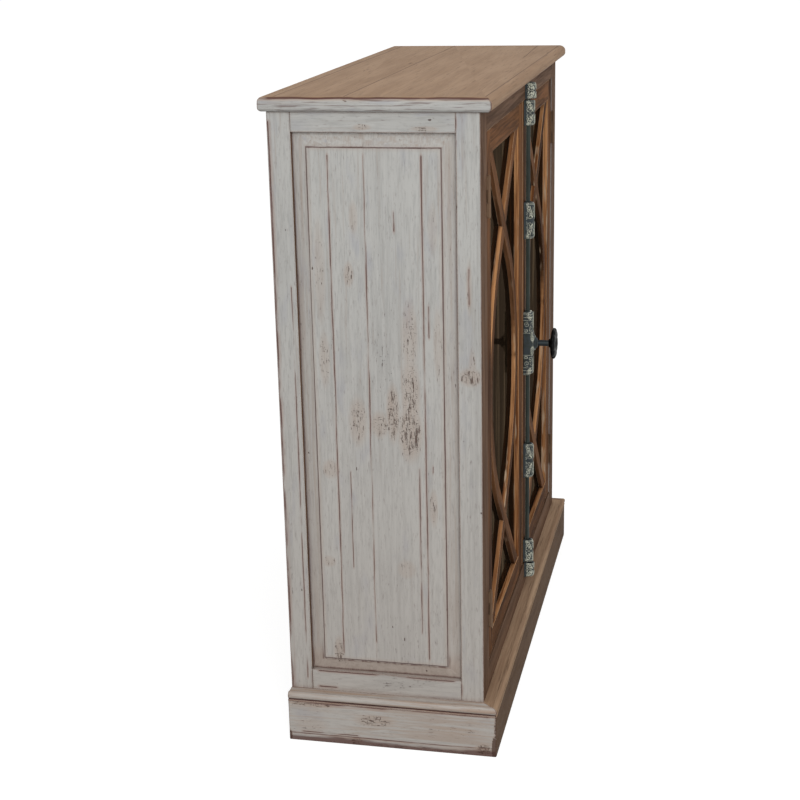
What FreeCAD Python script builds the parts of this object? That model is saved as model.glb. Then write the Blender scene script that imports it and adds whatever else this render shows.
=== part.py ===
import FreeCAD, Part
import math
import os

os.makedirs("parts", exist_ok=True)
Vector = FreeCAD.Vector

# Lengths are in millimetres. X runs to the right seen from the front, Y to the back, Z up.
# The floor is at Z zero and the whole cabinet, knob included, is centred on X and Y.

# Case
case_width = 936.0
case_depth = 327.0
case_height = 1045.0
front_post_width = 56.0
back_post_width = 37.0
post_depth = 37.0
board_thickness = 22.0
tenon_length = 18.0
back_tenon_length = 12.0
tenon_thickness = 8.0
tenon_shoulder = 6.0
tenon_end_gap = 1.0

# Top
top_thickness = 22.0
top_side_overhang = 10.0
top_front_overhang = 18.6
top_back_overhang = 10.4
nosing_width = 11.0
nosing_top_reach = 10.0
nosing_top_drop = 13.0
nosing_bottom_radius = 7.0
back_edge_radius = 6.0
rear_strip_width = 23.0
rear_plank_width = 109.0

# Sides, with a raised panel between rails
side_top_rail_height = 31.0
side_bottom_rail_top = 121.5
side_bottom_rail_height = 62.0
panel_setback = 1.5
panel_bevel_width = 22.5
panel_bevel_drop = 6.0
panel_shoulder = 1.5
panel_tongue_thickness = 6.0
panel_groove_depth = 9.0
panel_tongue_depth = 8.0
panel_joint_shares = (0.22, 0.44, 0.79)

# Front rails, floor, back and shelves
front_top_rail_height = 35.0
front_bottom_rail_top = 129.0
front_bottom_rail_height = 69.0
floor_thickness = 18.0
floor_ledge = 8.0
back_rail_height = 60.0
back_board_thickness = 12.0
back_rabbet_width = 10.0
back_board_count = 7
shelf_thickness = 18.0
shelf_front_setback = 45.0
shelf_height_shares = (0.35, 0.68)
cleat_size = 18.0

# Plinth
plinth_thickness = 24.4
plinth_height = 72.0
cap_width = 25.6
cap_height = 15.0
cap_fillet_height = 3.0
cap_fillet_inset = 0.8
cap_quirk = 1.5
cap_flat = 2.0

# Doors
door_gap = 2.0
meeting_gap = 2.5
door_recess = 2.0
door_thickness = 22.0
hinge_stile_width = 46.0
meeting_stile_width = 44.0
door_rail_height = 38.0
glass_setback = 9.5
glass_thickness = 3.0
glass_edge_gap = 1.5
rabbet_width = 8.0
bow_width = 24.5
bow_setback = 2.0
bow_stile_gap = 4.0
bow_corner_gap = 36.0
bow_end_angle = math.radians(45.0)

# Door stop and magnetic catch
stop_clearance = 0.3
stop_thickness = 14.0
stop_height = 32.0
stop_overlap = 16.0
magnet_radius = 5.0
magnet_length = 10.0
catch_inset = 60.0
catch_plate_width = 24.0
catch_plate_height = 10.0
catch_plate_thickness = 1.5

# Butt hinges
hinge_height = 62.0
hinge_end_distance = 66.0
hinge_barrel_radius = 3.0
hinge_pin_radius = 1.5
hinge_pin_head_radius = 2.4
hinge_pin_head_height = 2.0
hinge_leaf_thickness = 1.8
hinge_leaf_depth = 18.0
hinge_stand_off = 0.3
knuckle_gap = 0.3
running_clearance = 0.05

# Cremone bolt on the right door
bolt_inset = 26.25
bolt_drop = 4.5
rod_width = 9.0
rod_stand_off = 3.0
rod_thickness = 7.0
rod_clearance = 0.3
rod_tip_reach = 1.5
bolt_case_width = 26.0
bolt_case_height = 92.0
bolt_case_thickness = 16.0
bolt_case_wall = 2.0
bolt_case_corner = 4.0
bolt_tab_length = 14.0
bolt_tab_thickness = 2.5
boss_radius = 8.5
boss_tip_radius = 6.5
boss_height = 9.0
boss_reach = 24.0
boss_rise_shares = ((-1, 0), (-0.55, 0.18), (-0.34, 0.5), (-0.26, 0.8),
                    (0.26, 0.8), (0.34, 0.5), (0.55, 0.18), (1, 0))
journal_radius = 3.0
journal_length = 6.0
journal_end_gap = 1.0
shaft_radius = 3.5
stem_radius = 5.5
knob_radius = 28.5
knob_thickness = 13.0
knob_front = 62.0
knob_hub_radius = 8.0
knob_hub_height = 4.0
knob_socket_depth = 6.0
knob_lobe_count = 10
knob_scallop_radius = 6.0
knob_scallop_depth = 2.2
knob_outline_shares = ((0, 0), (0.8, 0), (1, 0.25), (1, 0.6), (0.72, 0.85), (0.3, 1), (0, 1))
guide_width = 24.0
guide_height = 66.0
guide_body_width = 14.0
guide_flange_thickness = 2.5
guide_rise = 18.0
guide_rise_shares = ((-1, 0), (-1, 0.7), (-0.75, 0.8), (-0.3, 0.84), (-0.15, 1),
                     (0.15, 1), (0.3, 0.84), (0.75, 0.8), (1, 0.7), (1, 0))
end_guide_height = 44.0
guide_spacing = 228.5
guide_edge_gap = 0.5
keeper_height = 28.0
keeper_edge_gap = 0.5
keeper_socket_depth = 22.0
keeper_clearance = 0.6

# Rack and pinion inside the bolt case
pinion_teeth = 12
tooth_module = 1.0
tooth_addendum = 0.65
tooth_dedendum = 0.95
tooth_backlash = 0.2
pressure_angle = math.radians(20.0)
gear_thickness = 5.0
rack_bar_reach = 10.0
rack_teeth_below = 6
rack_teeth_above = 2
tooth_flank_shares = (0, 0.25, 0.5, 0.75, 1)
jog_height = 6.0
jog_distance = 14.0

# Screws
screw_head_radius = 2.4
screw_head_height = 1.6
screw_shank_radius = 1.3
screw_length = 12.0
screw_side_offset = 8.8
screw_end_inset = 5.0
hinge_screw_shares = (0.2, 0.8)

# One overrun for every cut, and the distance within which two planes count as one
overrun = 5.0
match_tolerance = 0.001

# Planes worked out from the sizes above
half_width = case_width / 2
knob_reach = knob_front - door_recess
front_y = knob_reach - (knob_reach + case_depth + top_back_overhang) / 2
back_y = front_y + case_depth
door_front = front_y + door_recess
door_back = door_front + door_thickness
frame_back = door_back + stop_clearance
door_opening_low = front_bottom_rail_top
door_opening_high = case_height - front_top_rail_height
door_low = door_opening_low + door_gap
door_high = door_opening_high - door_gap
glass_front = door_front + glass_setback
glass_back = glass_front + glass_thickness
back_inner = back_y - back_board_thickness
post_edge = half_width - front_post_width
hinge_edge = post_edge - door_gap
hinge_axis_x = post_edge - door_gap / 2
hinge_axis_y = front_y - hinge_barrel_radius - hinge_stand_off
panel_face_drop = panel_setback + panel_shoulder + panel_bevel_drop
panel_back_drop = panel_face_drop + panel_tongue_thickness
bolt_x = meeting_gap / 2 + bolt_inset
bolt_z = (door_low + door_high) / 2 - bolt_drop
pitch_radius = pinion_teeth * tooth_module / 2


def block(x0, x1, y0, y1, z0, z1):
    """A box between two corners, given in any order."""
    low = Vector(min(x0, x1), min(y0, y1), min(z0, z1))
    return Part.makeBox(abs(x1 - x0), abs(y1 - y0), abs(z1 - z0), low)


def prism(points, along):
    """A flat outline pushed along a vector."""
    wire = Part.makePolygon(points + points[:1])
    return Part.Face(wire).extrude(along)


def plan_prism(points, z0, z1):
    """An outline seen from above, as a solid between two heights."""
    return prism([Vector(x, y, z0) for x, y in points], Vector(0, 0, z1 - z0))


def front_prism(points, y0, y1):
    """An outline seen from the front, as a solid between two depths."""
    return prism([Vector(x, y0, z) for x, z in points], Vector(0, y1 - y0, 0))


def rod_along(start, end, radius):
    """A round bar between two points."""
    way = end.sub(start)
    return Part.makeCylinder(radius, way.Length, start, way)


def fused(shapes):
    """Several touching shapes as one clean solid."""
    return shapes[0].fuse(shapes[1:]).removeSplitter()


def mirrored(shape):
    """The right-hand twin of a left-hand shape."""
    return shape.mirror(Vector(0, 0, 0), Vector(1, 0, 0))


def save(name, *solids):
    """Write one node, made of one or more separate solids."""
    shape = solids[0] if len(solids) == 1 else Part.makeCompound(list(solids))
    shape.exportStep("parts/" + name + ".step")


def moulding(outline, start, outward, along):
    """Push a moulding outline, given as lines and arcs in (out, up) points, along a run."""
    def place(point):
        return start + outward * point[0] + Vector(0, 0, point[1])
    edges = []
    for piece in outline:
        spots = [place(point) for point in piece]
        if len(spots) == 2:
            edges.append(Part.makeLine(*spots))
        else:
            edges.append(Part.Arc(*spots).toShape())
    return Part.Face(Part.Wire(edges)).extrude(along)


def quarter(center, radius, start_angle, turn, height=None):
    """Start, middle and end points of an arc in (out, up) points; a height draws it out upward."""
    angles = [start_angle + turn * share for share in (0, 1 / 2, 1)]
    rise = height or radius
    return [(center[0] + radius * math.cos(a), center[1] + rise * math.sin(a)) for a in angles]


def screw(head_point, direction):
    """A countersunk wood screw whose flat head lies at a point and drives along a direction."""
    cone = Part.makeCone(screw_head_radius, screw_shank_radius, screw_head_height, head_point, direction)
    neck = head_point + direction * screw_head_height
    shank = rod_along(neck, head_point + direction * screw_length, screw_shank_radius)
    return fused([cone, shank])


# Top: three planks with a nosing mitred round the front and the ends
top_low = case_height
top_high = case_height + top_thickness
top_edge_x = half_width + top_side_overhang
top_front = front_y - top_front_overhang
top_back = back_y + top_back_overhang
core_edge_x = top_edge_x - nosing_width
core_front = top_front + nosing_width


def nosing_outline():
    """Bullnose with a large round above and a small one below."""
    low_arc = quarter((nosing_width - nosing_bottom_radius, nosing_bottom_radius),
                      nosing_bottom_radius, -math.pi / 2, math.pi / 2)
    high_arc = quarter((nosing_width - nosing_top_reach, top_thickness - nosing_top_drop),
                       nosing_top_reach, 0, math.pi / 2, nosing_top_drop)
    return [[(0, 0), low_arc[0]], low_arc, [low_arc[2], high_arc[0]], high_arc,
            [high_arc[2], (0, top_thickness)], [(0, top_thickness), (0, 0)]]


def rounded_back():
    """The room of the whole top, with its two long back edges rounded off."""
    room = block(-top_edge_x, top_edge_x, top_front, top_back, top_low, top_high)
    back_edges = [e for e in room.Edges if abs(e.Length - 2 * top_edge_x) < match_tolerance
                  and all(abs(v.Y - top_back) < match_tolerance for v in e.Vertexes)]
    return room.makeFillet(back_edge_radius, back_edges)


def make_top():
    rear_joint = top_back - rear_strip_width
    main_joint = rear_joint - rear_plank_width
    spans = {"top_rear_strip": (rear_joint, top_back), "top_rear_plank": (main_joint, rear_joint),
             "top_front_plank": (core_front, main_joint)}
    for name, (y0, y1) in spans.items():
        save(name, block(-core_edge_x, core_edge_x, y0, y1, top_low, top_high).common(rounded_back()))
    front_run = moulding(nosing_outline(), Vector(-top_edge_x, core_front, top_low),
                         Vector(0, -1, 0), Vector(2 * top_edge_x, 0, 0))
    front_keep = [(-top_edge_x, top_front), (top_edge_x, top_front),
                  (core_edge_x, core_front), (-core_edge_x, core_front)]
    save("top_front_nosing", front_run.common(plan_prism(front_keep, top_low, top_high)))
    end_run = moulding(nosing_outline(), Vector(-core_edge_x, top_front, top_low),
                       Vector(-1, 0, 0), Vector(0, top_back - top_front, 0))
    end_keep = [(-top_edge_x, top_front), (-core_edge_x, core_front),
                (-core_edge_x, top_back), (-top_edge_x, top_back)]
    left = end_run.common(plan_prism(end_keep, top_low, top_high)).common(rounded_back())
    save("top_left_nosing", left)
    save("top_right_nosing", mirrored(left))


# Side frames: rails tenoned into the posts, with a raised panel in grooves
panel_low = side_bottom_rail_top
panel_high = case_height - side_top_rail_height
panel_front = front_y + post_depth
panel_back = back_y - post_depth
side_tenon_outer = -half_width + panel_face_drop
side_tenon_inner = side_tenon_outer + tenon_thickness


def side_rail_tenon(z0, z1, extra):
    """The bar that runs through a left rail and into both posts."""
    return block(side_tenon_outer, side_tenon_inner, panel_front - tenon_length - extra,
                 panel_back + tenon_length + extra, z0 + tenon_shoulder, z1 - tenon_shoulder)


def side_rail_heights():
    bottom_low = side_bottom_rail_top - side_bottom_rail_height
    return [(panel_high, case_height), (bottom_low, side_bottom_rail_top)]


def panel_groove():
    """The groove for the left panel's tongue, all round the opening."""
    return block(-half_width + panel_face_drop, -half_width + panel_back_drop,
                 panel_front - panel_groove_depth, panel_back + panel_groove_depth,
                 panel_low - panel_groove_depth, panel_high + panel_groove_depth)


def left_side_rails():
    rails = []
    for z0, z1 in side_rail_heights():
        bar = block(-half_width, -half_width + board_thickness, panel_front, panel_back, z0, z1)
        rails.append(fused([bar.cut(panel_groove()), side_rail_tenon(z0, z1, 0).cut(panel_groove())]))
    return rails


def rectangle(x, y0, y1, z0, z1):
    """A closed upright rectangle facing the side of the cabinet."""
    corners = [Vector(x, y0, z0), Vector(x, y1, z0), Vector(x, y1, z1), Vector(x, y0, z1)]
    return Part.makePolygon(corners + corners[:1])


def left_panel_boards():
    """Raised panel with a bevelled margin, glued up from four upright boards."""
    tongue_x = -half_width + panel_face_drop
    back_x = -half_width + panel_back_drop
    field_x = -half_width + panel_setback
    step_x = field_x + panel_shoulder
    tongue = block(tongue_x, back_x, panel_front - panel_tongue_depth, panel_back + panel_tongue_depth,
                   panel_low - panel_tongue_depth, panel_high + panel_tongue_depth)
    inset = panel_bevel_width
    field = (panel_front + inset, panel_back - inset, panel_low + inset, panel_high - inset)
    bevel = Part.makeLoft([rectangle(tongue_x, panel_front, panel_back, panel_low, panel_high),
                           rectangle(step_x, *field)], True, True)
    raised = block(field_x, step_x, *field)
    whole = fused([tongue, bevel, raised])
    width = panel_back - panel_front
    cuts = [panel_back - width * share for share in panel_joint_shares]
    edges = [panel_back + panel_groove_depth] + cuts + [panel_front - panel_groove_depth]
    return [whole.common(block(-half_width, half_width, y1, y0, 0, case_height))
            for y0, y1 in zip(edges[:-1], edges[1:])]


# Front and back rails, floor, back boards and shelves
back_rail_back = back_inner
back_rail_front = back_rail_back - board_thickness
frame_tenon_front = front_y + tenon_shoulder
back_tenon_front = back_rail_front + tenon_shoulder
floor_low = front_bottom_rail_top - floor_thickness


def frame_rail_tenon(z0, z1, extra):
    """The bar through a front rail and into both front posts."""
    reach = post_edge + tenon_length + extra
    return block(-reach, reach, frame_tenon_front, frame_tenon_front + tenon_thickness,
                 z0 + tenon_shoulder, z1 - tenon_shoulder)


def back_rail_tenon(z0, z1, extra):
    """The bar through a back rail and into both back posts."""
    reach = half_width - back_post_width + back_tenon_length + extra
    return block(-reach, reach, back_tenon_front, back_tenon_front + tenon_thickness,
                 z0 + tenon_shoulder, z1 - tenon_shoulder)


front_top_span = (door_opening_high, case_height)
front_bottom_span = (front_bottom_rail_top - front_bottom_rail_height, front_bottom_rail_top)
back_top_span = (case_height - back_rail_height, case_height)
back_bottom_span = (floor_low - back_rail_height, floor_low)


def front_rail(span):
    bar = block(-post_edge, post_edge, front_y, frame_back, *span)
    return fused([bar, frame_rail_tenon(*span, 0)])


def back_rail(span):
    edge = half_width - back_post_width
    bar = block(-edge, edge, back_rail_front, back_rail_back, *span)
    return fused([bar, back_rail_tenon(*span, 0)])


def back_boards():
    edge = half_width - back_post_width + back_rabbet_width
    width = 2 * edge / back_board_count
    low = back_bottom_span[0]
    return [block(-edge + width * i, -edge + width * (i + 1), back_inner, back_y, low, case_height)
            for i in range(back_board_count)]


def post_footprints(z0, z1):
    """The space that the four posts take, for notching the floor and the shelves."""
    spaces = []
    for side in (-1, 1):
        spaces.append(block(side * half_width, side * post_edge, front_y, front_y + post_depth, z0, z1))
        spaces.append(block(side * half_width, side * (half_width - back_post_width),
                            back_y - post_depth, back_y, z0, z1))
    return Part.makeCompound(spaces)


def floor_board():
    edge = half_width - board_thickness
    board = block(-edge, edge, frame_back - floor_ledge, back_inner, floor_low, front_bottom_rail_top)
    return board.cut(post_footprints(floor_low, front_bottom_rail_top))


def shelf_heights():
    room = door_opening_high - front_bottom_rail_top
    return [front_bottom_rail_top + room * share for share in shelf_height_shares]


def shelves():
    edge = half_width - board_thickness
    boards = []
    for z in shelf_heights():
        board = block(-edge, edge, front_y + shelf_front_setback, back_inner, z, z + shelf_thickness)
        boards.append(board.cut(post_footprints(z, z + shelf_thickness)))
    return boards


def shelf_cleats():
    outer = half_width - board_thickness
    cleats = []
    for z in shelf_heights():
        for side in (-1, 1):
            cleats.append(block(side * outer, side * (outer - cleat_size), panel_front, panel_back,
                                z - cleat_size, z))
    return cleats


# Plinth boards and their bead mouldings, mitred at the front corners
def mitred_plan(reach):
    """Plan outlines of the front run and the left run of a band round the case's foot."""
    outer_x = half_width + reach
    outer_y = front_y - reach
    front = [(-outer_x, outer_y), (outer_x, outer_y), (half_width, front_y), (-half_width, front_y)]
    left = [(-outer_x, outer_y), (-half_width, front_y), (-half_width, back_y), (-outer_x, back_y)]
    return front, left


def cap_outline():
    """A bead over a flat fillet, standing a little above the ledge behind it."""
    radius = (cap_height - cap_fillet_height) / 2
    nose = quarter((cap_width - radius, cap_fillet_height + radius), radius, -math.pi / 2, math.pi)
    ledge = cap_height - cap_quirk
    step = cap_width - radius - cap_flat
    face = cap_width - cap_fillet_inset
    return [[(0, 0), (face, 0)], [(face, 0), (face, cap_fillet_height)], [(face, cap_fillet_height), nose[0]],
            nose, [nose[2], (step, cap_height)], [(step, cap_height), (step, ledge)],
            [(step, ledge), (0, ledge)], [(0, ledge), (0, 0)]]


def make_plinth():
    front, left = mitred_plan(plinth_thickness)
    save("plinth_front", plan_prism(front, 0, plinth_height))
    left_board = plan_prism(left, 0, plinth_height)
    save("plinth_left", left_board)
    save("plinth_right", mirrored(left_board))
    cap_front, cap_left = mitred_plan(cap_width)
    cap_top = plinth_height + cap_height
    length = 2 * (half_width + cap_width)
    run = moulding(cap_outline(), Vector(-half_width - cap_width, front_y, plinth_height),
                   Vector(0, -1, 0), Vector(length, 0, 0))
    save("plinth_cap_front", run.common(plan_prism(cap_front, plinth_height, cap_top)))
    side_run = moulding(cap_outline(), Vector(-half_width, front_y - cap_width, plinth_height),
                        Vector(-1, 0, 0), Vector(0, case_depth + cap_width, 0))
    left_cap = side_run.common(plan_prism(cap_left, plinth_height, cap_top))
    save("plinth_cap_left", left_cap)
    save("plinth_cap_right", mirrored(left_cap))


# Butt hinges: a frame leaf with two knuckles, a door leaf with one between them, and a pin
hinge_lows = (door_low + hinge_end_distance, door_high - hinge_end_distance - hinge_height)
plate_start = hinge_axis_y + hinge_barrel_radius + hinge_stand_off


def knuckle(side, z0, z1, toward):
    """One barrel section with the strap that joins it to its leaf."""
    axis_x = side * hinge_axis_x
    barrel = rod_along(Vector(axis_x, hinge_axis_y, z0), Vector(axis_x, hinge_axis_y, z1),
                       hinge_barrel_radius)
    near = axis_x + toward * door_gap / 2
    strap = block(near, near + toward * hinge_leaf_thickness, hinge_axis_y, plate_start, z0, z1)
    bore = rod_along(Vector(axis_x, hinge_axis_y, z0 - overrun),
                     Vector(axis_x, hinge_axis_y, z1 + overrun), hinge_pin_radius + running_clearance)
    return barrel.fuse(strap).cut(bore)


def leaf_plate(side, low, toward):
    """The flat of a leaf, let in flush with the wood on its side of the gap."""
    near = side * hinge_axis_x + toward * door_gap / 2
    return block(near, near + toward * hinge_leaf_thickness, plate_start,
                 door_front + hinge_leaf_depth, low, low + hinge_height)


def leaf_screws(side, low, toward):
    near = side * hinge_axis_x + toward * door_gap / 2
    y = door_front + hinge_leaf_depth / 2
    return [screw(Vector(near, y, low + hinge_height * share), Vector(toward, 0, 0))
            for share in hinge_screw_shares]


def frame_leaf(side, low):
    third = hinge_height / 3
    ends = [knuckle(side, low, low + third, side),
            knuckle(side, low + 2 * third, low + hinge_height, side)]
    leaf = fused([leaf_plate(side, low, side)] + ends)
    return leaf.cut(Part.makeCompound(leaf_screws(side, low, side)))


def door_leaf(side, low):
    third = hinge_height / 3
    middle = knuckle(side, low + third + knuckle_gap, low + 2 * third - knuckle_gap, -side)
    leaf = fused([leaf_plate(side, low, -side), middle])
    return leaf.cut(Part.makeCompound(leaf_screws(side, low, -side)))


def hinge_pin(side, low):
    axis_x = side * hinge_axis_x
    bottom = Vector(axis_x, hinge_axis_y, low)
    top = Vector(axis_x, hinge_axis_y, low + hinge_height)
    head = Vector(0, 0, hinge_pin_head_height)
    heads = [rod_along(top, top + head, hinge_pin_head_radius),
             rod_along(bottom, bottom - head, hinge_pin_head_radius)]
    return fused([rod_along(bottom, top, hinge_pin_radius)] + heads)


# Posts, with mortises, panel grooves, back rabbets and hinge recesses
def left_posts():
    front = block(-half_width, -post_edge, front_y, front_y + post_depth, 0, case_height)
    back = block(-half_width, -half_width + back_post_width, back_y - post_depth, back_y, 0, case_height)
    cuts = [panel_groove()] + [side_rail_tenon(*span, tenon_end_gap) for span in side_rail_heights()]
    front_cuts = cuts + [frame_rail_tenon(*span, tenon_end_gap)
                         for span in (front_top_span, front_bottom_span)]
    back_cuts = cuts + [back_rail_tenon(*span, tenon_end_gap)
                        for span in (back_top_span, back_bottom_span)]
    rabbet_edge = half_width - back_post_width + back_rabbet_width
    back_cuts.append(block(-rabbet_edge, 0, back_inner, back_y, back_bottom_span[0], case_height))
    for low in hinge_lows:
        front_cuts.append(leaf_plate(-1, low, -1))
        front_cuts.extend(leaf_screws(-1, low, -1))
    return front.cut(front_cuts), back.cut(back_cuts)


# Doors: framed glass with two crossing bows in front of it
def door_edges(side):
    """Hinge edge, meeting edge and the two edges of the glass opening, all as X values."""
    hinge_x = side * hinge_edge
    meeting_x = side * meeting_gap / 2
    return hinge_x, meeting_x, hinge_x - side * hinge_stile_width, meeting_x + side * meeting_stile_width


glass_low = door_low + door_rail_height
glass_high = door_high - door_rail_height


def door_tenon(side, z0, z1, extra):
    """The bar through a door rail and into both stiles, clear of the glass rabbet."""
    _, _, hinge_in, meeting_in = door_edges(side)
    x0 = hinge_in + side * (tenon_length + extra)
    x1 = meeting_in - side * (tenon_length + extra)
    y0 = door_front + (door_thickness - tenon_thickness) / 2
    return block(x0, x1, y0, y0 + tenon_thickness, z0, z1)


def door_tenon_spans():
    """Tenon heights of the top and bottom rails, beyond the rabbet."""
    return [(glass_high + rabbet_width + tenon_shoulder, door_high - tenon_shoulder),
            (door_low + tenon_shoulder, glass_low - rabbet_width - tenon_shoulder)]


def glass_rabbet(side):
    _, _, hinge_in, meeting_in = door_edges(side)
    return block(hinge_in + side * rabbet_width, meeting_in - side * rabbet_width, glass_front,
                 door_back + overrun, glass_low - rabbet_width, glass_high + rabbet_width)


def door_frame(side, extra_cuts):
    """Hinge stile, meeting stile, top rail and bottom rail of one door."""
    hinge_x, meeting_x, hinge_in, meeting_in = door_edges(side)
    rabbet = glass_rabbet(side)
    mortises = [door_tenon(side, *span, tenon_end_gap) for span in door_tenon_spans()]
    cuts = [rabbet] + mortises + extra_cuts
    for low in hinge_lows:
        cuts.append(leaf_plate(side, low, -side))
        cuts.extend(leaf_screws(side, low, -side))
    hinge_stile = block(hinge_x, hinge_in, door_front, door_back, door_low, door_high).cut(cuts)
    meeting_stile = block(meeting_x, meeting_in, door_front, door_back, door_low, door_high).cut(cuts)
    rails = []
    for span, tenon in zip([(glass_high, door_high), (door_low, glass_low)], door_tenon_spans()):
        bar = block(hinge_in, meeting_in, door_front, door_back, *span).cut(rabbet)
        rails.append(fused([bar, door_tenon(side, *tenon, 0)]).cut(extra_cuts))
    return hinge_stile, meeting_stile, rails[0], rails[1]


def door_glass(side):
    _, _, hinge_in, meeting_in = door_edges(side)
    spread = rabbet_width - glass_edge_gap
    return block(hinge_in + side * spread, meeting_in - side * spread, glass_front, glass_back,
                 glass_low - spread, glass_high + spread)


def glass_beads(side):
    """Four strips that hold the glass from behind."""
    _, _, hinge_in, meeting_in = door_edges(side)
    outer_x = (hinge_in + side * rabbet_width, meeting_in - side * rabbet_width)
    low, high = glass_low - rabbet_width, glass_high + rabbet_width
    return [block(outer_x[0], hinge_in, glass_back, door_back, low, high),
            block(meeting_in, outer_x[1], glass_back, door_back, low, high),
            block(hinge_in, meeting_in, glass_back, door_back, glass_high, high),
            block(hinge_in, meeting_in, glass_back, door_back, low, glass_low)]


def bow_bar(low_x, high_x, bulge, y0, y1):
    """A bow with a round middle and straight ends into two corners, trimmed to the opening."""
    half_height = (glass_high - glass_low) / 2
    span = high_x - low_x - bow_stile_gap - bow_corner_gap
    radius = (half_height * math.tan(bow_end_angle) - span) / (1 / math.cos(bow_end_angle) - 1)
    vertex_x = high_x - bow_stile_gap if bulge > 0 else low_x + bow_stile_gap
    center = Vector(vertex_x - bulge * radius, y0, (glass_low + glass_high) / 2)

    def spot(distance, angle):
        return center + Vector(bulge * distance * math.cos(angle), 0, distance * math.sin(angle))

    def tail(end):
        way = Vector(-bulge * math.sin(bow_end_angle), 0, end * math.cos(bow_end_angle))
        return way * (2 * half_height)

    outer, inner = radius, radius - bow_width
    low, high = -bow_end_angle, bow_end_angle
    edges = [Part.Arc(spot(outer, low), spot(outer, 0), spot(outer, high)).toShape(),
             Part.makeLine(spot(outer, high), spot(outer, high) + tail(1)),
             Part.makeLine(spot(outer, high) + tail(1), spot(inner, high) + tail(1)),
             Part.makeLine(spot(inner, high) + tail(1), spot(inner, high)),
             Part.Arc(spot(inner, high), spot(inner, 0), spot(inner, low)).toShape(),
             Part.makeLine(spot(inner, low), spot(inner, low) + tail(-1)),
             Part.makeLine(spot(inner, low) + tail(-1), spot(outer, low) + tail(-1)),
             Part.makeLine(spot(outer, low) + tail(-1), spot(outer, low))]
    bar = Part.Face(Part.Wire(edges)).extrude(Vector(0, y1 - y0, 0))
    return bar.common(block(low_x, high_x, y0, y1, glass_low, glass_high))


def door_bows(side):
    """Two bows half-lapped where they cross, each sawn in an upper and a lower length."""
    _, _, hinge_in, meeting_in = door_edges(side)
    low_x, high_x = min(hinge_in, meeting_in), max(hinge_in, meeting_in)
    face = door_front + bow_setback
    middle_y = (face + glass_front) / 2
    middle_z = (glass_low + glass_high) / 2
    lower = block(low_x, high_x, face, glass_front, glass_low, middle_z)
    upper = block(low_x, high_x, face, glass_front, middle_z, glass_high)
    right_bow = bow_bar(low_x, high_x, 1, face, glass_front)
    left_bow = bow_bar(low_x, high_x, -1, face, glass_front)
    crossing = right_bow.common(left_bow)
    front_half = block(low_x, high_x, face, middle_y, glass_low, glass_high)
    back_half = block(low_x, high_x, middle_y, glass_front, glass_low, glass_high)
    right_cut = Part.makeCompound([crossing.common(upper).common(back_half),
                                   crossing.common(lower).common(front_half)])
    left_cut = Part.makeCompound([crossing.common(upper).common(front_half),
                                  crossing.common(lower).common(back_half)])
    right_bow = right_bow.cut(right_cut)
    left_bow = left_bow.cut(left_cut)
    halves = [[bow.common(upper), bow.common(lower)] for bow in (right_bow, left_bow)]
    return halves if side < 0 else halves[::-1]


# Door stop, magnet and catch plate
catch_x = -catch_inset
catch_z = door_high - stop_overlap / 2


def door_stop():
    low = door_opening_high - stop_overlap
    bar = block(-post_edge, post_edge, frame_back, frame_back + stop_thickness, low, low + stop_height)
    return bar.cut(catch_magnet())


def catch_magnet():
    start = Vector(catch_x, frame_back, catch_z)
    return rod_along(start, start + Vector(0, magnet_length, 0), magnet_radius)


def catch_plate():
    half_w = catch_plate_width / 2
    half_h = catch_plate_height / 2
    return block(catch_x - half_w, catch_x + half_w, door_back - catch_plate_thickness, door_back,
                 catch_z - half_h, catch_z + half_h)


# Cremone bolt. Distances forward of the right door's face are turned into Y by this function.
def ahead(distance):
    return door_front - distance


rod_front = rod_stand_off + rod_thickness
gear_back = rod_stand_off
gear_front = gear_back + gear_thickness
stem_start = bolt_case_thickness + boss_height
knob_back = knob_front - knob_thickness


def pinion_outline():
    """Involute teeth with radial roots, one tooth pointing along +X."""
    base_radius = pitch_radius * math.cos(pressure_angle)
    tip_radius = pitch_radius + tooth_addendum
    root_radius = pitch_radius - tooth_dedendum
    half_tooth = math.pi / (2 * pinion_teeth) - tooth_backlash / (4 * pitch_radius)
    lean = math.tan(pressure_angle) - pressure_angle
    flank = []
    for share in tooth_flank_shares:
        radius = base_radius + (tip_radius - base_radius) * share
        opening = math.acos(base_radius / radius)
        flank.append((radius, half_tooth + lean - (math.tan(opening) - opening)))
    flank.insert(0, (root_radius, flank[0][1]))
    tooth = [(r, -a) for r, a in flank] + [(r, a) for r, a in flank[::-1]]
    points = []
    for index in range(pinion_teeth):
        turn = 2 * math.pi * index / pinion_teeth
        points.extend((r * math.cos(a + turn), r * math.sin(a + turn)) for r, a in tooth)
    return points


def rack_outline():
    """Straight-sided rack at the right of the pinion, with a gap at the pinion's height."""
    pitch = math.pi * tooth_module
    slope = math.tan(pressure_angle)
    half_tooth = pitch / 4 - tooth_backlash / 4
    foot = half_tooth + slope * tooth_dedendum
    tip = half_tooth - slope * tooth_addendum
    tip_x = pitch_radius - tooth_addendum
    root_x = pitch_radius + tooth_dedendum
    low = -rack_teeth_below * pitch
    points = [(root_x, low)]
    for index in range(-rack_teeth_below, rack_teeth_above):
        middle = (index + 1 / 2) * pitch
        points += [(root_x, middle - foot), (tip_x, middle - tip),
                   (tip_x, middle + tip), (root_x, middle + foot)]
    return points + [(root_x, jog_distance), (rack_bar_reach, jog_distance), (rack_bar_reach, low)]


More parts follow.
